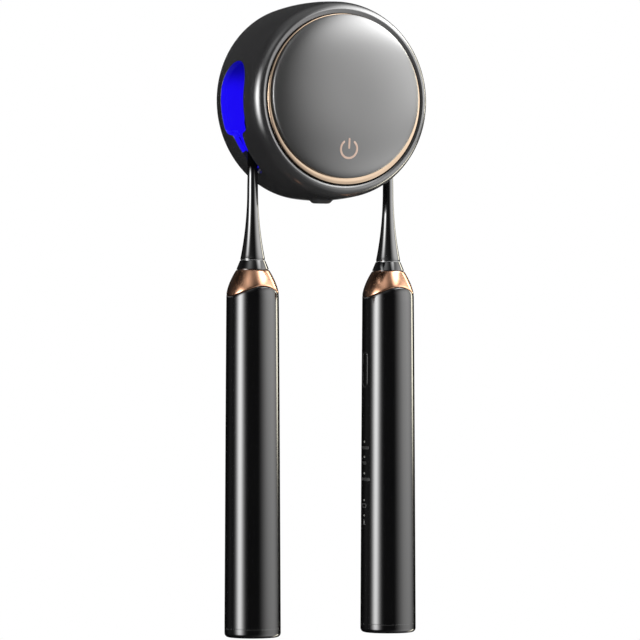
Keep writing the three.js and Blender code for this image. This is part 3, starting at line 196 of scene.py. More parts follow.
def finish(name, dark, light, rough, metal, grain, depth, patch, coat=0.0, direction=None, ior=1.5,
           emission=None, glow=0.0, painted_shade_above=None):
    """A moulded, painted or metal surface: patches of tone from dark to light, a fine grain, and
    roughness that varies between two values. Grain and patch are the scales of their noise, and
    depth is the grain's height in metres."""
    material = bpy.data.materials.new(name)
    material.use_nodes = True
    tree = material.node_tree
    tree.nodes.clear()
    n = Nodes(tree)
    place = n.add("ShaderNodeTexCoord").outputs["Object"]
    if direction is not None:
        place = direction(n, place)
    broad = n.add("ShaderNodeTexNoise", Vector=place, Scale=patch, Detail=3.0, Roughness=0.55).outputs[0]
    fine = n.add("ShaderNodeTexNoise", Vector=place, Scale=grain, Detail=4.0, Roughness=0.6).outputs[0]
    tone = n.step(broad, 0.3, 0.7)
    low, high = rough
    roughness = n.add("ShaderNodeMapRange", i0=n.math("ADD", n.math("MULTIPLY", fine, 0.6),
                      n.math("MULTIPLY", broad, 0.4)), i1=0.3, i2=0.7, i3=low, i4=high).outputs[0]
    bump = n.add("ShaderNodeBump", Height=fine, Strength=0.6, Distance=depth).outputs[0]
    shader = n.add("ShaderNodeBsdfPrincipled", Base_Color=n.mix(tone, linear(dark), linear(light)),
                   Roughness=roughness, Metallic=metal, Normal=bump)
    shader.inputs["IOR"].default_value = ior
    # painted shade: the gloss fades out above the given height
    if painted_shade_above is not None:  # where the chute's dark walls are all that the gloss can show
        n.set(shader.inputs["Specular IOR Level"],
              n.math("MULTIPLY", n.inverse(n.step(n.height(place), *painted_shade_above)), 0.5))
    shader.inputs["Coat Weight"].default_value = coat
    shader.inputs["Coat Roughness"].default_value = 0.05
    if emission is not None:
        shader.inputs["Emission Strength"].default_value = glow
        n.set(shader.inputs["Emission Color"], emission(n, place) if callable(emission) else linear(emission))
    out = n.add("ShaderNodeOutputMaterial")
    n.set(out.inputs[0], shader.outputs[0])
    return material


def turned_marks(radial, around, axis):
    """Coordinates in which noise becomes fine rings about an axis: Y for the housing, Z for a brush."""
    def make(n, place):
        split = n.add("ShaderNodeSeparateXYZ", i0=place).outputs
        a, b, along = (split[0], split[2], split[1]) if axis == "Y" else (split[0], split[1], split[2])
        radius = n.math("SQRT", n.math("ADD", n.math("MULTIPLY", a, a), n.math("MULTIPLY", b, b)))
        return n.add("ShaderNodeCombineXYZ", i0=n.math("MULTIPLY", radius, radial),
                     i1=n.math("MULTIPLY", a, around), i2=n.math("MULTIPLY", along, radial)).outputs[0]
    return make


def stretched(x, y, z):
    """Coordinates that stretch the grain by different amounts along the axes."""
    return lambda n, place: n.add("ShaderNodeVectorMath", {"operation": "MULTIPLY"},
                                  i0=place, i1=(x, y, z)).outputs[0]


def painted_chamber_light(n, place):
    """Painted blue ultraviolet light given off by the liner itself: full in the chamber, weak under the arched
    top as painted shade, gone down the dark chute as painted shade, with one last painted patch of it beside
    the neck."""
    height = n.height(place)
    cloud = n.add("ShaderNodeTexNoise", Vector=place, Scale=70.0, Detail=2.0).outputs[0]
    level = n.math("ADD", height, n.math("MULTIPLY", n.math("SUBTRACT", cloud, 0.5), 8.0))
    # painted shade: the blue is darker towards the arched top
    blue = n.mix(n.step(level, 4, 16.5), linear("1a08ee"), linear("0a0590"))
    # painted shade: the light is black down the chute, apart from a painted patch of light beside the neck
    lit = n.math("MAXIMUM", n.step(height, -30.5, -26.5), n.window(height, -34.0, -30.0, 0.5))
    return n.mix(lit, (0, 0, 0, 1), blue)


gunmetal = finish("gunmetal_satin", "29292a", "2d2d2e", (0.19, 0.23), 0.0, 1500, 0.000001, 35, ior=1.75)
gunmetal_cover = finish("gunmetal_cover", "333333", "373737", (0.29, 0.33), 0.0, 2200, 0.000005, 30, ior=1.8)
champagne = finish("champagne_gold", "867360", "927f6b", (0.13, 0.18), 1.0, 900, 0.000008, 300, coat=0.6,
                   direction=turned_marks(3, 0.15, "Y"))
rose_gold = finish("rose_gold", "ac8066", "b88c70", (0.17, 0.24), 1.0, 700, 0.000004, 80, coat=0.2,
                   direction=stretched(1, 1, 0.25))
gloss_black = finish("gloss_black", "050506", "080809", (0.09, 0.13), 0.0, 500, 0.0000015, 30)
# the neck's gloss is painted out above the chute's mouth, as painted shade
neck_black = finish("neck_black", "060607", "0a0a0b", (0.05, 0.08), 0.0, 600, 0.000002, 60, ior=1.75,
                    painted_shade_above=(-37, -32))
dark_plastic = finish("dark_plastic", "1d1e20", "242527", (0.45, 0.58), 0.0, 2600, 0.00002, 60)
grey_plastic = finish("grey_plastic", "85888b", "94979a", (0.48, 0.6), 0.0, 2600, 0.00002, 60)
foam_grey = finish("adhesive_foam", "cfcfcf", "e6e6e6", (0.85, 0.95), 0.0, 1800, 0.00012, 200)
rubber = finish("soft_rubber", "242222", "2a2828", (0.4, 0.5), 0.0, 1800, 0.00001, 80)
# the liner's own colour is the dark blue; its emission is painted ultraviolet light
liner_blue_painted_light = finish("chamber_blue_painted_light", "040240", "04024c", (0.3, 0.42), 0.0, 1200, 0.00001, 90,
                    emission=painted_chamber_light, glow=1.0)
quartz = finish("lamp_quartz", "5f55ff", "7f78ff", (0.06, 0.1), 0.0, 900, 0.000004, 90,
                emission="5a3cff", glow=1.6)
symbol_copper = finish("symbol_copper", "b89e8e", "c0a89a", (0.35, 0.42), 0.2, 1500, 0.000004, 90,
                       emission="8a6252", glow=0.2)
steel = finish("steel", "a9abad", "bdbfc1", (0.22, 0.34), 1.0, 1400, 0.000006, 120)
board_green = finish("board_green", "143f26", "1d5636", (0.35, 0.5), 0.0, 900, 0.00004, 500)
copper = finish("coil_copper", "a9653a", "c27a48", (0.28, 0.4), 1.0, 500, 0.00006, 200,
                direction=turned_marks(8, 0.1, "Z"))
cell_blue = finish("cell_wrap", "244f8c", "2f62a8", (0.3, 0.42), 0.0, 1500, 0.00001, 60)
bristle_white = finish("bristle_nylon", "dcdcd4", "f2f2ec", (0.45, 0.6), 0.0, 3000, 0.00001, 400)
light_white = finish("light_pipe", "8f8f8a", "a5a59f", (0.25, 0.35), 0.0, 1500, 0.00001, 90)
ink_grey = finish("printed_grey", "565656", "666666", (0.5, 0.6), 0.0, 3000, 0.000004, 400)
ink_dim = finish("printed_dim", "1c1c1c", "242424", (0.5, 0.6), 0.0, 3000, 0.000004, 400)

# ---------------------------------------------------------------- mesh helpers, in millimetres


def soften(corners, closed=True, steps=5):
    """Rounds the corners of a polyline; each corner is (a, b) or (a, b, radius)."""
    out = []
    count = len(corners)
    for i, corner in enumerate(corners):
        p = np.array(corner[:2], float)
        radius = corner[2] if len(corner) > 2 else 0
        if radius <= 0 or (not closed and i in (0, count - 1)):
            out.append(tuple(p))
            continue
        a = np.array(corners[i - 1][:2], float) - p
        b = np.array(corners[(i + 1) % count][:2], float) - p
        la, lb = np.linalg.norm(a), np.linalg.norm(b)
        a, b = a / la, b / lb
        half = math.acos(max(-1, min(1, float(a @ b)))) / 2
        reach = min(radius / math.tan(half), 0.48 * la, 0.48 * lb)
        radius = reach * math.tan(half)
        middle = p + (a + b) / np.linalg.norm(a + b) * radius / math.sin(half)
        start, end = p + a * reach - middle, p + b * reach - middle
        sweep = math.pi - 2 * half
        for k in range(steps + 1):
            t = k / steps
            point = (start * math.sin((1 - t) * sweep) + end * math.sin(t * sweep)) / math.sin(sweep)
            out.append(tuple(middle + point))
    return out


def revolve(profile, segments, axis="Z", closed=True):
    """A surface of revolution. Profile points are [radius, height]; about Y the height is a depth."""
    verts, rings = [], []
    for radius, height in profile:
        if radius < 1e-6:
            rings.append([len(verts)] * segments)
            verts.append((0, 0, height))
            continue
        rings.append(list(range(len(verts), len(verts) + segments)))
        for k in range(segments):
            a = 2 * math.pi * k / segments
            verts.append((radius * math.cos(a), radius * math.sin(a), height))
    faces = []
    pairs = list(zip(rings, rings[1:])) + ([(rings[-1], rings[0])] if closed else [])
    for low, high in pairs:
        for k in range(segments):
            j = (k + 1) % segments
            corner = [low[k], low[j], high[j], high[k]]
            corner = [c for i, c in enumerate(corner) if c != corner[i - 1]]
            if len(corner) > 2:
                faces.append(corner)
    if axis == "Y":
        verts = [(x, -z, y) for x, y, z in verts]
    return verts, faces


def bands(rings, count, start=0):
    """Faces that join rings of count points, one ring after another."""
    return [[start + r * count + k, start + r * count + (k + 1) % count,
             start + (r + 1) * count + (k + 1) % count, start + (r + 1) * count + k]
            for r in range(rings - 1) for k in range(count)]


def mesh_piece(name, parts, materials, body, nodes=(), sharp=35, place=Vector, weld=0.002):
    """Makes one object from (vertices, faces) parts, and says what it rides on and stands for.
    Faces listed as a part's third item take the second material."""
    bm = bmesh.new()
    for verts, faces, *lit in parts:
        made = [bm.verts.new(place(v) * MM) for v in verts]
        second = set(lit[0]) if lit else ()
        for number, face in enumerate(faces):
            if len({made[i] for i in face}) == len(face):
                bm.faces.new([made[i] for i in face]).material_index = int(number in second)
    bmesh.ops.remove_doubles(bm, verts=bm.verts, dist=weld * MM)
    loose = [v for v in bm.verts if not v.link_faces]
    bmesh.ops.delete(bm, geom=loose, context="VERTS")
    bmesh.ops.recalc_face_normals(bm, faces=bm.faces)
    mesh = bpy.data.meshes.new(name)
    bm.to_mesh(mesh)
    bm.free()
    mesh.shade_smooth()
    mesh.set_sharp_from_angle(angle=math.radians(sharp))
    for material in materials:
        mesh.materials.append(material)
    piece = bpy.data.objects.new(name, mesh)
    bpy.context.scene.collection.objects.link(piece)
    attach(piece, body)
    if nodes:
        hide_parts(*nodes)
    return piece


def offset(loop, distance):
    """A closed counter-clockwise loop moved outward by a distance, vertex by vertex."""
    p = np.array(loop, float)
    along = np.roll(p, -1, 0) - np.roll(p, 1, 0)
    along /= np.linalg.norm(along, axis=1)[:, None]
    return p + np.stack([along[:, 1], -along[:, 0]], 1) * distance


def inside(points, loop):
    """Which points lie inside a closed loop."""
    points, loop = np.array(points, float), np.array(loop, float)
    result = np.zeros(len(points), bool)
    for (x0, y0), (x1, y1) in zip(loop, np.roll(loop, -1, 0)):
        if y0 == y1:
            continue
        crosses = (points[:, 1] < y0) != (points[:, 1] < y1)
        result ^= crosses & (points[:, 0] < (x1 - x0) * (points[:, 1] - y0) / (y1 - y0) + x0)
    return result


def pierced(surface, columns, rows, holes):
    """A gridded surface with rounded holes. surface(u, v, sink) gives a point; a hole is
    (loop in u and v, edge radius, depth of its wall)."""
    grid = [(u, v) for v in rows for u in columns]
    keep = np.ones(len(grid), bool)
    for loop, radius, _ in holes:
        keep &= ~inside(grid, offset(loop, radius + 0.9))
    points = [g for g, k in zip(grid, keep) if k]
    sinks = [0.0] * len(points)
    edges, walls = [], []
    for loop, radius, wall in holes:
        for k, t in enumerate((0, 0.08, 0.3, 0.62, 1.0, 1.0 + 0.45 / radius)):
            ring = offset(loop, radius * t)
            start = len(points)
            points += [tuple(p) for p in ring]
            sinks += [radius - math.sqrt(max(0, radius ** 2 - (radius * max(0, 1 - t)) ** 2))] * len(ring)
            edges += [(start + i, start + (i + 1) % len(ring)) for i in range(len(ring))]
            if k == 0:
                walls.append((start, len(ring), radius + wall))
    corners = [(columns[0], rows[0]), (columns[-1], rows[0]), (columns[-1], rows[-1]), (columns[0], rows[-1])]
    flat, _, faces, origins, _, _ = geometry.delaunay_2d_cdt([Vector(p) for p in points], edges, [], 0, 1e-5)
    centres = [(sum(flat[i].x for i in f) / len(f), sum(flat[i].y for i in f) / len(f)) for f in faces]
    drop = np.zeros(len(faces), bool)
    for loop, _, _ in holes:
        drop |= inside(centres, loop)
    sink_of = [max((sinks[o] for o in origin), default=0.0) for origin in origins]
    verts = [surface(p.x, p.y, s) for p, s in zip(flat, sink_of)]
    faces = [list(f) for f, d in zip(faces, drop) if not d]
    index = {o: i for i, origin in enumerate(origins) for o in origin}
    skin_faces = len(faces)
    for start, count, depth in walls:
        base = len(verts)
        verts += [surface(*points[start + i], depth) for i in range(count)]
        for i in range(count):
            j = (i + 1) % count
            faces.append([index[start + i], index[start + j], base + j, base + i])
    return verts, faces, range(skin_faces, len(faces))


def pill_loop(width, length, middle=(0, 0), steps=10):
    """A slot outline, long along its second axis, counter-clockwise."""
    half = (length - width) / 2
    loop = []
    for start, shift in ((0, half), (math.pi, -half)):
        for k in range(steps + 1):
            a = start + math.pi * k / steps
            loop.append((middle[0] + width / 2 * math.cos(a), middle[1] + shift + width / 2 * math.sin(a)))
    return resample(loop, 0.5)


def round_loop(radius, z=0.0):
    """A small round outline on a handle."""
    return [(radius * math.cos(a), z + radius * math.sin(a)) for a in np.arange(16) * math.pi / 8]


def resample(loop, spacing=None, count=None):
    """The same closed loop with points at an even spacing, or with a count of evenly spaced points."""
    p = np.array(loop + [loop[0]], float)
    run = np.concatenate([[0], np.cumsum(np.linalg.norm(np.diff(p, axis=0), axis=1))])
    count = count or max(12, int(run[-1] / spacing))
    at = np.arange(count) * run[-1] / count
    return [(float(np.interp(t, run, p[:, 0])), float(np.interp(t, run, p[:, 1]))) for t in at]


def smooth_loop(loop, rounds):
    """Eases the corners of an evenly spaced loop."""
    p = np.array(loop, float)
    for _ in range(rounds):
        p = 0.5 * p + 0.25 * (np.roll(p, 1, 0) + np.roll(p, -1, 0))
    return [tuple(q) for q in p]


def slab(surface, loop, low, high, edge, spacing=0.8):
    """A solid plate whose outline is a loop on a surface, from one height to another, with a soft top."""
    us, vs = np.array(loop)[:, 0], np.array(loop)[:, 1]
    grid = [(u, v) for u in np.arange(us.min(), us.max(), spacing)
            for v in np.arange(vs.min(), vs.max(), spacing)]
    grid = [g for g, k in zip(grid, inside(grid, offset(loop, -edge - 0.25 * spacing))) if k]
    points, heights, edges = list(grid), [high] * len(grid), []
    for t in (0, 0.12, 0.4, 1.0):
        start = len(points)
        ring = offset(loop, -edge * t)
        points += [tuple(p) for p in ring]
        heights += [high - edge + math.sqrt(max(0, edge ** 2 - (edge * (1 - t)) ** 2))] * len(ring)
        edges += [(start + i, start + (i + 1) % len(ring)) for i in range(len(ring))]
    flat, _, faces, origins, _, _ = geometry.delaunay_2d_cdt([Vector(p) for p in points], edges, [], 0, 1e-6)
    keep = inside([(sum(flat[i].x for i in f) / len(f), sum(flat[i].y for i in f) / len(f)) for f in faces],
                  offset(loop, 1e-4))
    height_of = [min((heights[o] for o in origin), default=high) for origin in origins]
    verts = [surface(p.x, p.y, -h) for p, h in zip(flat, height_of)]
    faces = [list(f) for f, k in zip(faces, keep) if k]
    index = {o: i for i, origin in enumerate(origins) for o in origin}
    base, count, first = len(verts), len(loop), len(grid)
    verts += [surface(u, v, -low) for u, v in loop]
    for i in range(count):
        j = (i + 1) % count
        faces.append([index[first + i], index[first + j], base + j, base + i])
    faces.append(list(range(base, base + count)))
    return verts, faces


def shifted(part, x, z):
    """A part moved across and up."""
    verts, faces = part
    return [(a + x, b, c + z) for a, b, c in verts], faces


# ---------------------------------------------------------------- steriliser
SHELL_RADIUS, REAR_RADIUS, FRONT_RADIUS = 47.6, 46.72, 46.8
BARREL_REAR, BARREL_FRONT = 1.7, 37.0
FACE_OPENING, FACE_DEPTH, INNER_RADIUS = 41.05, 44.1, 44.9
LIP_CREST, LIP_FALL = 42.45, 0.33  # radius of the front's highest line, and how far it falls to the opening
FACE_DROP, CREST_DROP = 0.75, 0.2  # of the opening's centre and the crest's, below the steriliser's
RING_DROP = 0.4               # of the ring's centre
TILT = 0.012                  # fall of the barrel's axis per millimetre of depth
BRUSH_X, BRUSH_DEPTH = 36.5, 19.75
SLOT_REAR, SLOT_FRONT, SLOT_BOTTOM, SLOT_TOP = 6.9, 32.2, -16.6, 18.1
SLIT_HALF, SLIT_END, FUNNEL_HALF, FUNNEL_LOW = 3.3, 32.0, 5.2, -26.0


def barrel_radius(depth):
    """The housing bulges a little between its rear and its front."""
    t = (depth - 0.6) / (BARREL_FRONT - 0.6)
    bulge = SHELL_RADIUS - (REAR_RADIUS + FRONT_RADIUS) / 2
    return REAR_RADIUS + (FRONT_RADIUS - REAR_RADIUS) * t + bulge * 4 * t * (1 - t)


def barrel(u, depth, sink):
    """u runs round the barrel in millimetres from the +X side, counter-clockwise from the front."""
    angle = u / SHELL_RADIUS
    radius = barrel_radius(depth) - sink
    return (radius * math.cos(angle), -depth, radius * math.sin(angle) - TILT * depth)


def slot_outline():
    """The keyhole at the +X side, as a loop in (u, depth)."""
    along = lambda z: SHELL_RADIUS * math.asin(z / SHELL_RADIUS)
    middle, half, arch, power = (SLOT_REAR + SLOT_FRONT) / 2, (SLOT_FRONT - SLOT_REAR) / 2, 14.5, 0.94
    loop = []
    for k in range(25):
        a = math.pi * k / 24
        z = SLOT_TOP - arch + arch * math.sin(a) ** power
        loop.append((along(z), middle + half * math.copysign(abs(math.cos(a)) ** power, math.cos(a))))
    end_u = -SHELL_RADIUS * math.acos(SLIT_END / SHELL_RADIUS) + SLIT_HALF
    rear = soften([(along(-2), SLOT_REAR), (along(SLOT_BOTTOM), SLOT_REAR + 0.5, 3.4),
                   (along(SLOT_BOTTOM - 0.6), BRUSH_DEPTH - FUNNEL_HALF, 1.6),
                   (along(FUNNEL_LOW), BRUSH_DEPTH - SLIT_HALF, 6),
                   (end_u, BRUSH_DEPTH - SLIT_HALF)], False)
    front = soften([(along(-2), SLOT_FRONT), (along(SLOT_BOTTOM + 1.5), SLOT_FRONT - 1.6, 3.4),
                    (along(SLOT_BOTTOM - 0.2), BRUSH_DEPTH + FUNNEL_HALF - 0.4, 1.6),
                    (along(FUNNEL_LOW), BRUSH_DEPTH + SLIT_HALF, 6),
                    (end_u, BRUSH_DEPTH + SLIT_HALF)], False)
    tip = [(end_u - SLIT_HALF * math.sin(a), BRUSH_DEPTH - SLIT_HALF * math.cos(a))
           for a in (math.pi * k / 10 for k in range(1, 10))]
    loop += rear + tip + front[::-1]
    waist = lambda u, d: d - 0.9 * math.exp(-((u + 1) / 9) ** 2) * max(0, (d - middle) / half)
    return smooth_loop(resample([(u, waist(u, d)) for u, d in loop], 0.6), 3)


def counter_clockwise(loop):
    """The loop itself, or turned about where it runs clockwise."""
    p = np.array(loop)
    area = float((p[:, 0] * np.roll(p[:, 1], -1) - np.roll(p[:, 0], -1) * p[:, 1]).sum())
    return loop if area > 0 else loop[::-1]


def shell():
    """The housing: a barrel with two keyholes and a port, its front with the lip, and its rear edge."""
    segments = 160
    start = -0.75 * math.pi * 2 + 0.6  # where the barrel's columns meet, away from all three holes
    columns = [SHELL_RADIUS * (start + 2 * math.pi * k / segments) for k in range(segments + 1)]
    rows = list(np.linspace(BARREL_REAR, BARREL_FRONT, 22))
    right = slot_outline()
    half_turn = math.pi * SHELL_RADIUS
    left = [(-half_turn - u, d) for u, d in right]
    port = [(-half_turn / 2 + a, BRUSH_DEPTH + b) for b, a in pill_loop(3.9, 9.6)]
    keyhole_edge, keyhole_wall, port_edge, port_wall = 0.13, 2.4, 0.3, 2.2
    holes = [(counter_clockwise(loop), keyhole_edge, keyhole_wall) for loop in (right, left)]
    holes.append((counter_clockwise(port), port_edge, port_wall))
    verts, faces, walls = pierced(barrel, columns, rows, holes)
    heights = {i: min(verts[k][2] for k in faces[i]) for i in walls}
    # the keyholes' walls are given the chamber's painted light, apart from a dark stretch of the slit
    lit = [i for i, height in heights.items() if height > -26 or -34 < height < -29.5]
    skin = (verts, faces, lit)
    power = 1.11  # of the shoulder's curve: 1 is an ellipse
    shoulder = [(LIP_CREST + (FRONT_RADIUS - LIP_CREST) * max(0, math.cos(a)) ** power,
                 BARREL_FRONT + (FACE_DEPTH - BARREL_FRONT) * math.sin(a) ** power)
                for a in np.linspace(0, math.pi / 2, 24)]
    lip = soften([shoulder[-2], (LIP_CREST, FACE_DEPTH, 0.5), (FACE_OPENING, FACE_DEPTH - LIP_FALL, 0.2),
                  (FACE_OPENING, 41.2)], False, 6)[1:]
    front = [(FRONT_RADIUS, BARREL_FRONT)] + shoulder[1:-1] + lip + [(INNER_RADIUS, 38.2), (INNER_RADIUS, 34)]
    edge = 1.1
    rear = [(barrel_radius(BARREL_REAR), BARREL_REAR)] + [
        (REAR_RADIUS - edge + edge * math.cos(a), BARREL_REAR - edge * math.sin(a))
        for a in np.linspace(0.15, math.pi / 2, 6)] + [(INNER_RADIUS, 0.6), (INNER_RADIUS, 6.5)]
    c, s = math.cos(start), math.sin(start)

    def aligned(profile, drop):
        """A turned surface whose points meet the barrel's columns, each lowered by its drop."""
        verts, faces = revolve(profile, segments, "Y", closed=False)
        verts = [(x * c - z * s, y, x * s + z * c) for x, y, z in verts]
        return [(x, y, z - drop(x, y, z)) for x, y, z in verts], faces

    def front_drop(x, y, z):
        """From the barrel's front to the crest and the opening."""
        return float(np.interp(math.hypot(x, z), (FACE_OPENING, LIP_CREST, FRONT_RADIUS),
                               (FACE_DROP, CREST_DROP, TILT * BARREL_FRONT)))

    return [skin, aligned(front, front_drop), aligned(rear, lambda x, y, z: -TILT * y)]


mesh_piece("housing_shell", shell(), [gunmetal, liner_blue_painted_light], "steriliser", ["shell"])

FACE_SHIFT, RING_SHIFT = 0.3, 0.35  # of the cover and of the ring, to the right
RING_OUTER, RING_INNER, COVER_RADIUS, COVER_RISE = 40.9, 36.1, 38.9, 0.85
RING_CREST, RING_CURVE = 38.7, 13.0  # where the ring's rounded face starts to fall, and its radius
BEVEL_WIDTH, BEVEL_FALL = 0.5, 0.7


RING_BACK, COVER_BACK, COVER_EDGE, COVER_TOP = 41.5, 43.6, 45.6, 50.8  # depths from the wall


def ring_face(radius):
    return FACE_DEPTH - 0.1 - max(0, radius - RING_CREST) ** 2 / (2 * RING_CURVE)


def face_ring():
    """A flat ring whose face falls in a slow curve to a bevelled outer edge."""
    face = [(r, ring_face(r)) for r in np.linspace(RING_OUTER - BEVEL_WIDTH, RING_CREST, 12)]
    edge = soften([(RING_OUTER, RING_BACK), (RING_OUTER, face[0][1] - BEVEL_FALL, 0.15), (*face[0], 0.3),
                   face[3]], False, 8)[1:]
    ring = [(RING_INNER, RING_BACK), (RING_OUTER, RING_BACK)] + edge + face[4:] \
        + [(RING_INNER, ring_face(RING_INNER))]
    return [shifted(revolve(ring, 320, "Y"), RING_SHIFT, -RING_DROP)]


mesh_piece("face_ring", face_ring(), [champagne], "steriliser", ["trim_ring"])


def dome_depth(radius):
    """The cover is nearly flat in its middle and falls steeply at its edge."""
    share = min(1, radius / COVER_RADIUS)
    return COVER_EDGE + (COVER_TOP - COVER_EDGE) * (1 - share ** 2.8) ** 0.625


def face_cover():
    """The domed cover, with rows that crowd together at its edge."""
    steps = 60
    dome = [(r, dome_depth(r)) for r in (COVER_RADIUS * math.sin(math.pi / 2 * (1 - i / steps) ** 1.3)
                                         for i in range(1, steps + 1))]
    profile = [(34.3, COVER_BACK), (COVER_RADIUS, COVER_BACK), (COVER_RADIUS, COVER_EDGE)] + dome
    return [shifted(revolve(profile, 320, "Y", closed=False), FACE_SHIFT, COVER_RISE)]


mesh_piece("face_cover", face_cover(), [gunmetal_cover], "steriliser", ["front_cover"], sharp=50)


def on_dome(x, z, sink):
    """A point on the cover, from its place across and up from the steriliser's centre."""
    return (x, -(dome_depth(math.hypot(x - FACE_SHIFT, z - COVER_RISE)) - sink), z)


def symbol():
    """A power symbol: an open ring and a bar, set a hair proud of the cover."""
    x0, z0, radius, half = -0.4, COVER_RISE - COVER_RADIUS + 13.65, 4.3, 0.5
    opening = math.radians(34)
    start, end = math.pi / 2 + opening, 2.5 * math.pi - opening
    ring = [(x0 + r * math.cos(a), z0 + r * math.sin(a))
            for r, angles in ((radius + half, np.linspace(start, end, 60)),
                              (radius - half, np.linspace(end, start, 56))) for a in angles]
    open_ring = smooth_loop(resample(ring, 0.28), 2)
    bar = pill_loop(2 * half, 5.3, (x0, z0 + radius + 0.95 - 2.65))
    return [slab(on_dome, counter_clockwise(loop), -0.5, 0.05, 0.04, 0.7) for loop in (open_ring, bar)]


mesh_piece("power_symbol", symbol(), [symbol_copper], "steriliser", ["symbol_light_guide"])


def port_boss():
    """A rounded rubber boss that closes the charging port, seated on the underside of the shell."""
    width, length, rise, count = 9.4, 14.8, 1.65, 48
    insets_and_falls = ((0, 0), (0.7, 0.04), (1.3, 0.2), (1.85, 0.6), (2.3, 1.05), (2.8, 1.38), (3.4, 1.58),
                        (4.3, rise))
    rings = [[(x, y, fall) for y, x in resample(pill_loop(width - 2 * inset, length - 2 * inset), count=count)]
             for inset, fall in insets_and_falls]
    verts = []
    for ring_points in rings:
        for x, y, fall in ring_points:
            base = math.sqrt((SHELL_RADIUS + 0.05) ** 2 - x ** 2)
            verts.append((x, y - BRUSH_DEPTH, -(base + (SHELL_RADIUS + rise - base) * fall / rise)))
    faces = bands(len(rings), count)
    faces.append(list(range((len(rings) - 1) * count, len(rings) * count)))
    top, stem_low, stem_high, tongue_high = len(verts), -48.0, -46.3, -40.4
    stem = [(x * 0.5, y * 0.42) for x, y, _ in rings[0]]
    verts += [(x, y - BRUSH_DEPTH, z) for z in (stem_low, stem_high) for x, y in stem]
    for k in range(count):
        j = (k + 1) % count
        faces.append([k, j, top + j, top + k])
        faces.append([top + k, top + j, top + count + j, top + count + k])
    faces.append(list(range(top + count, top + 2 * count)))
    tongue = pill_loop(2.3, 8.0)
    base = len(verts)
    verts += [(a, b - BRUSH_DEPTH, z) for z in (stem_high, tongue_high) for b, a in tongue]
    n = len(tongue)
    faces += bands(2, n, base)
    faces += [list(range(base + n, base + 2 * n)), list(range(base, base + n))]
    return [(verts, faces)]


mesh_piece("port_boss", port_boss(), [gunmetal], "port_cover", ["port_cover"], sharp=50)

# ---------------------------------------------------------------- brushes, built about their own axis
NECK_TOP, NECK_LENGTH, NOSE_HEIGHT = -19.18, 57.52, 4.2
NECK_BASE = NECK_TOP - NECK_LENGTH
NOSE_TOP = NECK_BASE - 0.3
NOSE_BOTTOM = NOSE_TOP - NOSE_HEIGHT
COLLAR_TOP = NOSE_BOTTOM - 0.3
SHOULDER = COLLAR_TOP - 11.9
WAVE_HEIGHT, WAVE_SWING = COLLAR_TOP - 10.35, 2.46
HANDLE_BASE = SHOULDER - 162.6
CAP_TOP = HANDLE_BASE + 4.2
BUTTON_Z = SHOULDER - 35.6
LIGHT_Z = [SHOULDER - d for d in (70.4, 77.7, 85.6, 98.6, 106.0)]
TOP_RADIUS, BASE_RADIUS, NOSE_LOW_RADIUS = 12.5, 13.4, 7.7
EDGE_GAP = 0.15  # from the wave down to the handle and up to the collar
HANDLE_TOP, WAVE_REACH = WAVE_HEIGHT - EDGE_GAP, 9  # the handle's rows bend over the reach
HEAD_SHOULDER, HEAD_LENGTH, HEAD_TIP = 8, 16.2, 7  # the head's three stretches above the neck
HEAD_HALF_WIDTH, HEAD_BACK, HEAD_FRONT, HEAD_NECK = 6.2, 2.5, 1.9, 2.45


def outer_radius(z):
    """Collar and handle, from the nose down."""
    if z < SHOULDER:
        t = min(1, (SHOULDER - z) / (SHOULDER - CAP_TOP))
        return TOP_RADIUS + (BASE_RADIUS - TOP_RADIUS) * t ** 0.8
    t = (NOSE_BOTTOM - z) / (NOSE_BOTTOM - SHOULDER)
    return TOP_RADIUS - (TOP_RADIUS - NOSE_LOW_RADIUS) * (1 - t) ** 1.6


def neck_radius(z):
    """Slim at the top, then flared towards the nose ring."""
    slim_length, base_radius = 22.8, 5.99
    slim = min(1, (NECK_TOP - z) / slim_length)
    flare = max(0, (NECK_TOP - slim_length - z) / (NECK_LENGTH - slim_length))
    slim_radius = 2.3 + 0.27 * slim ** 2
    return slim_radius + (base_radius - slim_radius) * flare ** 2.1


def wave(angle):
    """The height of the edge between collar and handle: two waves round the brush."""
    return WAVE_HEIGHT - WAVE_SWING * math.cos(2 * angle)


def collar():
    """A rose-gold shoulder; its lower edge is a rolled lip that follows the wave."""
    around, rows = 128, 16
    verts, faces = [], []
    lip, swell, top_edge = 0.95, 0.12, 0.25
    for k in range(around):
        a = 2 * math.pi * k / around
        low = wave(a) + EDGE_GAP
        profile = [(NOSE_LOW_RADIUS - 1.2, COLLAR_TOP - 0.4), (outer_radius(COLLAR_TOP) - top_edge, COLLAR_TOP)]
        for i in range(rows + 1):
            z = COLLAR_TOP - top_edge + (low + lip - COLLAR_TOP + top_edge) * (i / rows)
            profile.append((outer_radius(z), z))
        for t in np.linspace(0.2, 1, 6) * math.pi / 2:
            z = low + lip * (1 - math.sin(t))
            roll = lip * 0.75 * (1 - math.cos(t))
            profile.append((outer_radius(z) + swell - roll - swell * (1 - math.sin(t)), z))
        profile.append((outer_radius(low) - 1.4, low))
        verts += [(r * math.cos(a), r * math.sin(a), z) for r, z in profile]
    n = len(verts) // around
    for k in range(around):
        j = (k + 1) % around
        faces += [[k * n + i, j * n + i, j * n + i + 1, k * n + i + 1] for i in range(n - 1)]
    return [(verts, faces)]


def on_handle(u, v, sink):
    """A point on the handle; near its top the rows bend to follow the wave."""
    a = u / TOP_RADIUS
    rise = max(0.0, min(1.0, (v - SHOULDER + WAVE_REACH) / (HANDLE_TOP - SHOULDER + WAVE_REACH)))
    z = v + (wave(a) - WAVE_HEIGHT) * rise ** 1.5
    radius = outer_radius(z) - sink
    return (radius * math.cos(a), radius * math.sin(a), z)


def button_loop(width, length):
    """The button's outline on the handle, whose columns spread with its radius."""
    return counter_clockwise(pill_loop(width * TOP_RADIUS / outer_radius(BUTTON_Z), length, (0, BUTTON_Z)))


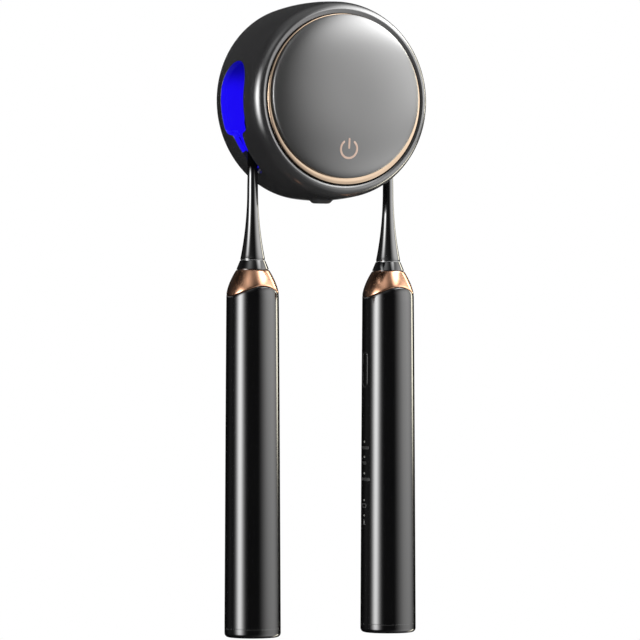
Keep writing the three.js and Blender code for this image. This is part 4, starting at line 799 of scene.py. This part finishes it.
def handle():
    """The handle's skin, with holes for button and lights, and a rim turned inward at each end."""
    around = 96
    turn = 2 * math.pi * TOP_RADIUS
    columns = [turn * (k / around - 0.5) for k in range(around + 1)]
    top, bottom, top_edge, bottom_edge = HANDLE_TOP, CAP_TOP, 0.25, 0.02
    first_row = top - 0.35
    rows = sorted([bottom + 0.4, first_row, top - 1.5, top - 3, top - 5, top - 7.5]
                  + list(np.linspace(bottom + bottom_edge, top - 11, 42)))
    holes = [(button_loop(5.0, 17.2), 0.08, 1.0)] + [(round_loop(0.62, z), 0.12, 1.2) for z in LIGHT_Z]
    skin = pierced(on_handle, columns, rows, holes)
    rims = []
    for level, way, edge, start in ((top, 1, top_edge, first_row),
                                    (bottom, -1, bottom_edge, bottom + bottom_edge)):
        verts = []
        for u in columns:
            for t in (0, 0.5, 1, 1.5, 5):
                sink = edge * (1 - math.cos(min(1, t) * math.pi / 2)) + max(0, t - 1) * 0.3
                v = level - way * edge * (1 - math.sin(min(1, t) * math.pi / 2))
                verts.append(on_handle(u, v if t else start, sink))
        faces = [[k * 5 + i, (k + 1) * 5 + i, (k + 1) * 5 + i + 1, k * 5 + i + 1]
                 for k in range(around) for i in range(4)]
        rims.append((verts, faces))
    return [skin] + rims


def head():
    """Head, shoulders and neck as one loft: a flattened oval that becomes a slim round neck."""
    bottom = NECK_TOP + HEAD_SHOULDER
    top = bottom + HEAD_LENGTH
    foot = NECK_BASE + 0.9
    around, squareness = 64, 2.9
    sections = []  # height, half width, back, front, and the power of the oval: 2 is an ellipse
    for z in np.linspace(foot, NECK_TOP - 1, 40):
        r = neck_radius(z)
        sections.append((z, r, r, r, 2.0))
    for s in np.linspace(0, 1, 12):
        e = s * s * (3 - 2 * s)
        sections.append((NECK_TOP + HEAD_SHOULDER * s, HEAD_NECK + (HEAD_HALF_WIDTH - HEAD_NECK) * s,
                         HEAD_NECK + (HEAD_BACK - HEAD_NECK) * e, HEAD_NECK + (HEAD_FRONT - HEAD_NECK) * e,
                         2 + 0.9 * e))
    for s in np.linspace(0.1, 1, 9):
        sections.append((bottom + HEAD_LENGTH * s, HEAD_HALF_WIDTH, HEAD_BACK, HEAD_FRONT, squareness))
    for s in np.linspace(0.08, 0.995, 12):
        f = math.sqrt(1 - s ** 2.2)
        sections.append((top + HEAD_TIP * s, HEAD_HALF_WIDTH * f, HEAD_BACK * (0.25 + 0.75 * f), HEAD_FRONT,
                         squareness - 0.7 * s))
    verts = []
    for z, wide, back, front, power in sections:
        for k in range(around):
            a = 2 * math.pi * k / around
            c, s = math.cos(a), math.sin(a)
            x = math.copysign(abs(c) ** (2 / power), c) * (front if c > 0 else back)
            verts.append((x, math.copysign(abs(s) ** (2 / power), s) * wide, z))
    faces = bands(len(sections), around)
    faces.append(list(range((len(sections) - 1) * around, len(sections) * around)))
    socket = 1.75  # radius of the hole for the drive shaft
    base = soften([(neck_radius(foot), foot), (5.86, NECK_BASE + 0.72, 0.16), (5.75, NECK_BASE),
                   (socket, NECK_BASE, 0.2), (socket, NECK_BASE + 6)], False)
    return [(verts, faces), revolve(base, around, "Z", closed=False)]


def bristles():
    """Tufts of nylon filaments in a staggered block with a slightly wavy top."""
    rng = np.random.default_rng(11)
    pitch, free_length, radius = 2.4, 8.15, 0.1
    middle = NECK_TOP + HEAD_SHOULDER + HEAD_LENGTH / 2 + 1.6
    verts, faces = [], []
    for row in range(7):
        columns = 2 if row in (0, 6) else 4
        for column in range(columns):
            y0 = (column - (columns - 1) / 2) * pitch
            z0 = middle + (row - 3) * pitch
            for ring_radius, count in ((0, 1), (0.36, 6), (0.68, 11)):
                for k in range(count):
                    a = 2 * math.pi * k / count + 0.4 * ring_radius
                    y, z = y0 + ring_radius * math.cos(a), z0 + ring_radius * math.sin(a)
                    length = free_length - 0.35 * math.cos(row * 1.05) ** 2 + rng.uniform(-0.12, 0.1)
                    lean_y, lean_z = rng.normal(0, 0.06, 2)
                    base = len(verts)
                    for t, r in ((-0.4, 0.105), (0.93, radius), (1.0, radius / 2)):
                        for c in range(5):
                            b = 2 * math.pi * c / 5
                            verts.append((HEAD_FRONT + length * t, y + lean_y * max(t, 0) + r * math.cos(b),
                                          z + lean_z * max(t, 0) + r * math.sin(b)))
                    faces += bands(3, 5, base)
                    faces.append([base + 10 + c for c in range(5)])
    return [(verts, faces)]


def ink(loop):
    """A thin film of ink on the handle."""
    return slab(on_handle, counter_clockwise(loop), -0.02, 0.012, 0.01, 0.4)


def bars():
    """Plain bars under the three upper lights."""
    parts, half_height, corner = [], 0.75, 0.3
    for z, half in zip(LIGHT_Z, (3.6, 1.7, 4.3)):
        bar = [(-half, -half_height, corner), (half, -half_height, corner), (half, half_height, corner),
               (-half, half_height, corner)]
        parts.append(ink(resample([(u, z - 2.9 + v) for u, v in soften(bar)], 0.3)))
    return parts


def marks():
    """A battery outline and a drop under the two lower lights."""
    parts = []
    z = LIGHT_Z[3] - 2.6
    strokes = ((-0.95, -0.65, -1.6, 1.6), (0.65, 0.95, -1.6, 1.6), (-0.65, 0.65, -1.6, -1.3),
               (-0.65, 0.65, 1.3, 1.6), (-0.35, 0.35, 1.6, 1.95))  # the four walls and the pole
    for low, high, left, right in strokes:
        box = [(left, z + low), (right, z + low), (right, z + high), (left, z + high)]
        parts.append(ink(resample(box, 0.15)))
    z = LIGHT_Z[4] - 3.1
    drop = [(0.95 * math.sin(a) * math.sin(a / 2) ** 1.4, z + 1.35 * math.cos(a))
            for a in np.arange(28) * math.pi / 14]
    parts.append(ink(resample(drop, 0.15)))
    return parts


def brush(side, x, turn):
    """All the visible pieces of one brush, turned and put in place."""
    c, s = math.cos(turn), math.sin(turn)

    def place(v):
        return Vector((x + c * v[0] - s * v[1], -BRUSH_DEPTH + s * v[0] + c * v[1], v[2]))

    def make(name, parts, material, body, slot, nodes, sharp=35, weld=0.002):
        mesh_piece(f"{side}_{name}", parts, [material], f"{side}_{body}",
                   [f"{side}_{node}" for node in nodes], sharp=sharp, place=place, weld=weld)

    make("brush_head_shell", head(), neck_black, "brush_head", "black_chrome", ["head"], 50)
    make("filaments", bristles(), bristle_white, "brush_head", "bristle_white", ["bristles"], weld=0.0001)
    bore, spigot, upper, step, lower, foot = 4.4, 5.6, 6.05, 7.3, 5.9, -96
    nose = soften([(bore, NOSE_TOP + 0.25, 0.05), (spigot, NOSE_TOP + 0.25), (spigot, NOSE_TOP - 0.3),
                   (upper, NOSE_TOP), (NOSE_LOW_RADIUS + 0.02, NOSE_BOTTOM + 0.15, 0.1),
                   (NOSE_LOW_RADIUS - 0.1, NOSE_BOTTOM, 0.05), (step, NOSE_BOTTOM, 0.05),
                   (step, NOSE_BOTTOM - 0.25, 0.05), (lower, NOSE_BOTTOM - 0.25, 0.1), (lower, foot),
                   (bore, foot)])
    make("nose_ring", [revolve(nose, 96)], neck_black, "handle", "black_chrome", ["nose"])
    make("collar_shell", collar(), rose_gold, "handle", "rose_gold", ["collar"], 50)
    make("handle_body", handle(), gloss_black, "handle", "gloss_black", ["handle_shell"], 50)
    wide, seam, plug = outer_radius(CAP_TOP), CAP_TOP - 0.01, 10.6
    base = soften([(0, HANDLE_BASE), (wide, HANDLE_BASE, 3.9), (wide, seam), (plug, seam), (plug, CAP_TOP + 4)],
                  False, 10)
    make("base_shell", [revolve(base, 96, closed=False)], gloss_black, "handle", "gloss_black", ["base_cap"])
    pad = slab(on_handle, button_loop(4.3, 16.5), -2.2, -0.05, 0.1)
    make("button_pad", [pad], gloss_black, "mode_button", "gloss_black", ["button"])
    lights = [slab(on_handle, round_loop(0.5, z), -1.4, -0.02, 0.1, 0.2) for z in LIGHT_Z]
    make("indicator_lights", lights, light_white, "handle", "light_pipe", ["light_guide"])
    make("printed_marks", marks(), ink_grey, "handle", "light_pipe", [])
    make("printed_bars", bars(), ink_dim, "handle", "light_pipe", [])


brush("left", -BRUSH_X, 0)
brush("right", BRUSH_X, math.pi)
# of the brushes only the bright collars show in the housing's gloss
for thing in bpy.data.objects:
    thing.visible_glossy = not thing.name.startswith(("left_", "right_")) or "collar" in thing.name

# ---------------------------------------------------------------- finishes for the CAD nodes that stay
STAYING = {
    "adhesive_pad": foam_grey, "wall_plate": grey_plastic, "rear_cover": dark_plastic,
    "front_frame": grey_plastic, "touch_board": board_green, "main_board": board_green,
    "battery_holder": dark_plastic, "battery_cell": cell_blue, "charging_socket": steel,
    "socket_board": board_green, "chamber_liner": liner_blue_painted_light, "uv_lens": quartz, "uv_board": board_green,
    "drive_shaft": steel, "shaft_seal": rubber, "chassis": grey_plastic, "motor": steel, "cell": cell_blue,
    "control_board": board_green, "base_seal": rubber, "charging_coil": copper, "rear_screw": steel,
}
for name, node in frame["nodes"].items():
    plain_name = name.removeprefix("left_").removeprefix("right_")
    plain_name = plain_name.rstrip("1234").rstrip("_") if "screw" in plain_name else plain_name
    if plain_name in STAYING:
        node.data.materials.clear()
        node.data.materials.append(STAYING[plain_name])

# ---------------------------------------------------------------- floor
floor_material = finish("pale_floor", "e9e9e8", "efefee", (0.7, 0.8), 0.0, 300, 0.0001, 3)
FLOOR_RADIUS, FLOOR_BEHIND, FLOOR_HEIGHT = 0.85, 0.1, -0.335
bpy.ops.mesh.primitive_circle_add(vertices=96, radius=FLOOR_RADIUS, fill_type="NGON",
                                  location=(0, FLOOR_BEHIND, FLOOR_HEIGHT))
floor = bpy.context.object
floor.name = "floor"
floor.data.materials.append(floor_material)
floor.visible_glossy = False

# ---------------------------------------------------------------- the key soft box, seen in gloss only
# It is near, so that the cover shows it and the collars don't.
KEY_TURN, KEY_RISE, KEY_DISTANCE = math.radians(95), math.radians(41), 0.2
KEY_AIM, KEY_SIZE, KEY_STRENGTH = Vector((0.025, -0.05, 0.025)), (0.55, 0.3, 1), 12.5
key_way = (TO_CAMERA * math.cos(KEY_TURN) + CAMERA_RIGHT * math.sin(KEY_TURN)) * math.cos(KEY_RISE) \
    + Vector((0, 0, math.sin(KEY_RISE)))
key_material = bpy.data.materials.new("key_panel")
key_material.use_nodes = True
key_material.node_tree.nodes.clear()
k = Nodes(key_material.node_tree)
spot = k.add("ShaderNodeSeparateXYZ", i0=k.add("ShaderNodeTexCoord").outputs["Object"]).outputs
tall = k.math("MULTIPLY", k.bell(spot[1], 0.0, 0.056), k.step(spot[1], -0.085, -0.03))
soft = k.math("MULTIPLY", k.bell(spot[0], 0.0, 0.125), tall)
shining = k.add("ShaderNodeEmission", Color=WHITE, Strength=k.math("MULTIPLY", soft, KEY_STRENGTH))
both = k.add("ShaderNodeAddShader", i0=shining.outputs[0], i1=k.add("ShaderNodeBsdfTransparent").outputs[0])
k.set(k.add("ShaderNodeOutputMaterial").inputs[0], both.outputs[0])
bpy.ops.mesh.primitive_plane_add(size=1)
panel = bpy.context.object
panel.name = "key_panel"
panel.scale = KEY_SIZE
bpy.ops.object.transform_apply(location=False, rotation=False, scale=True)
panel.location = KEY_AIM + key_way * KEY_DISTANCE
panel.rotation_euler = key_way.to_track_quat("Z", "Y").to_euler()
panel.data.materials.append(key_material)
panel.visible_camera = panel.visible_diffuse = panel.visible_shadow = panel.visible_transmission = False
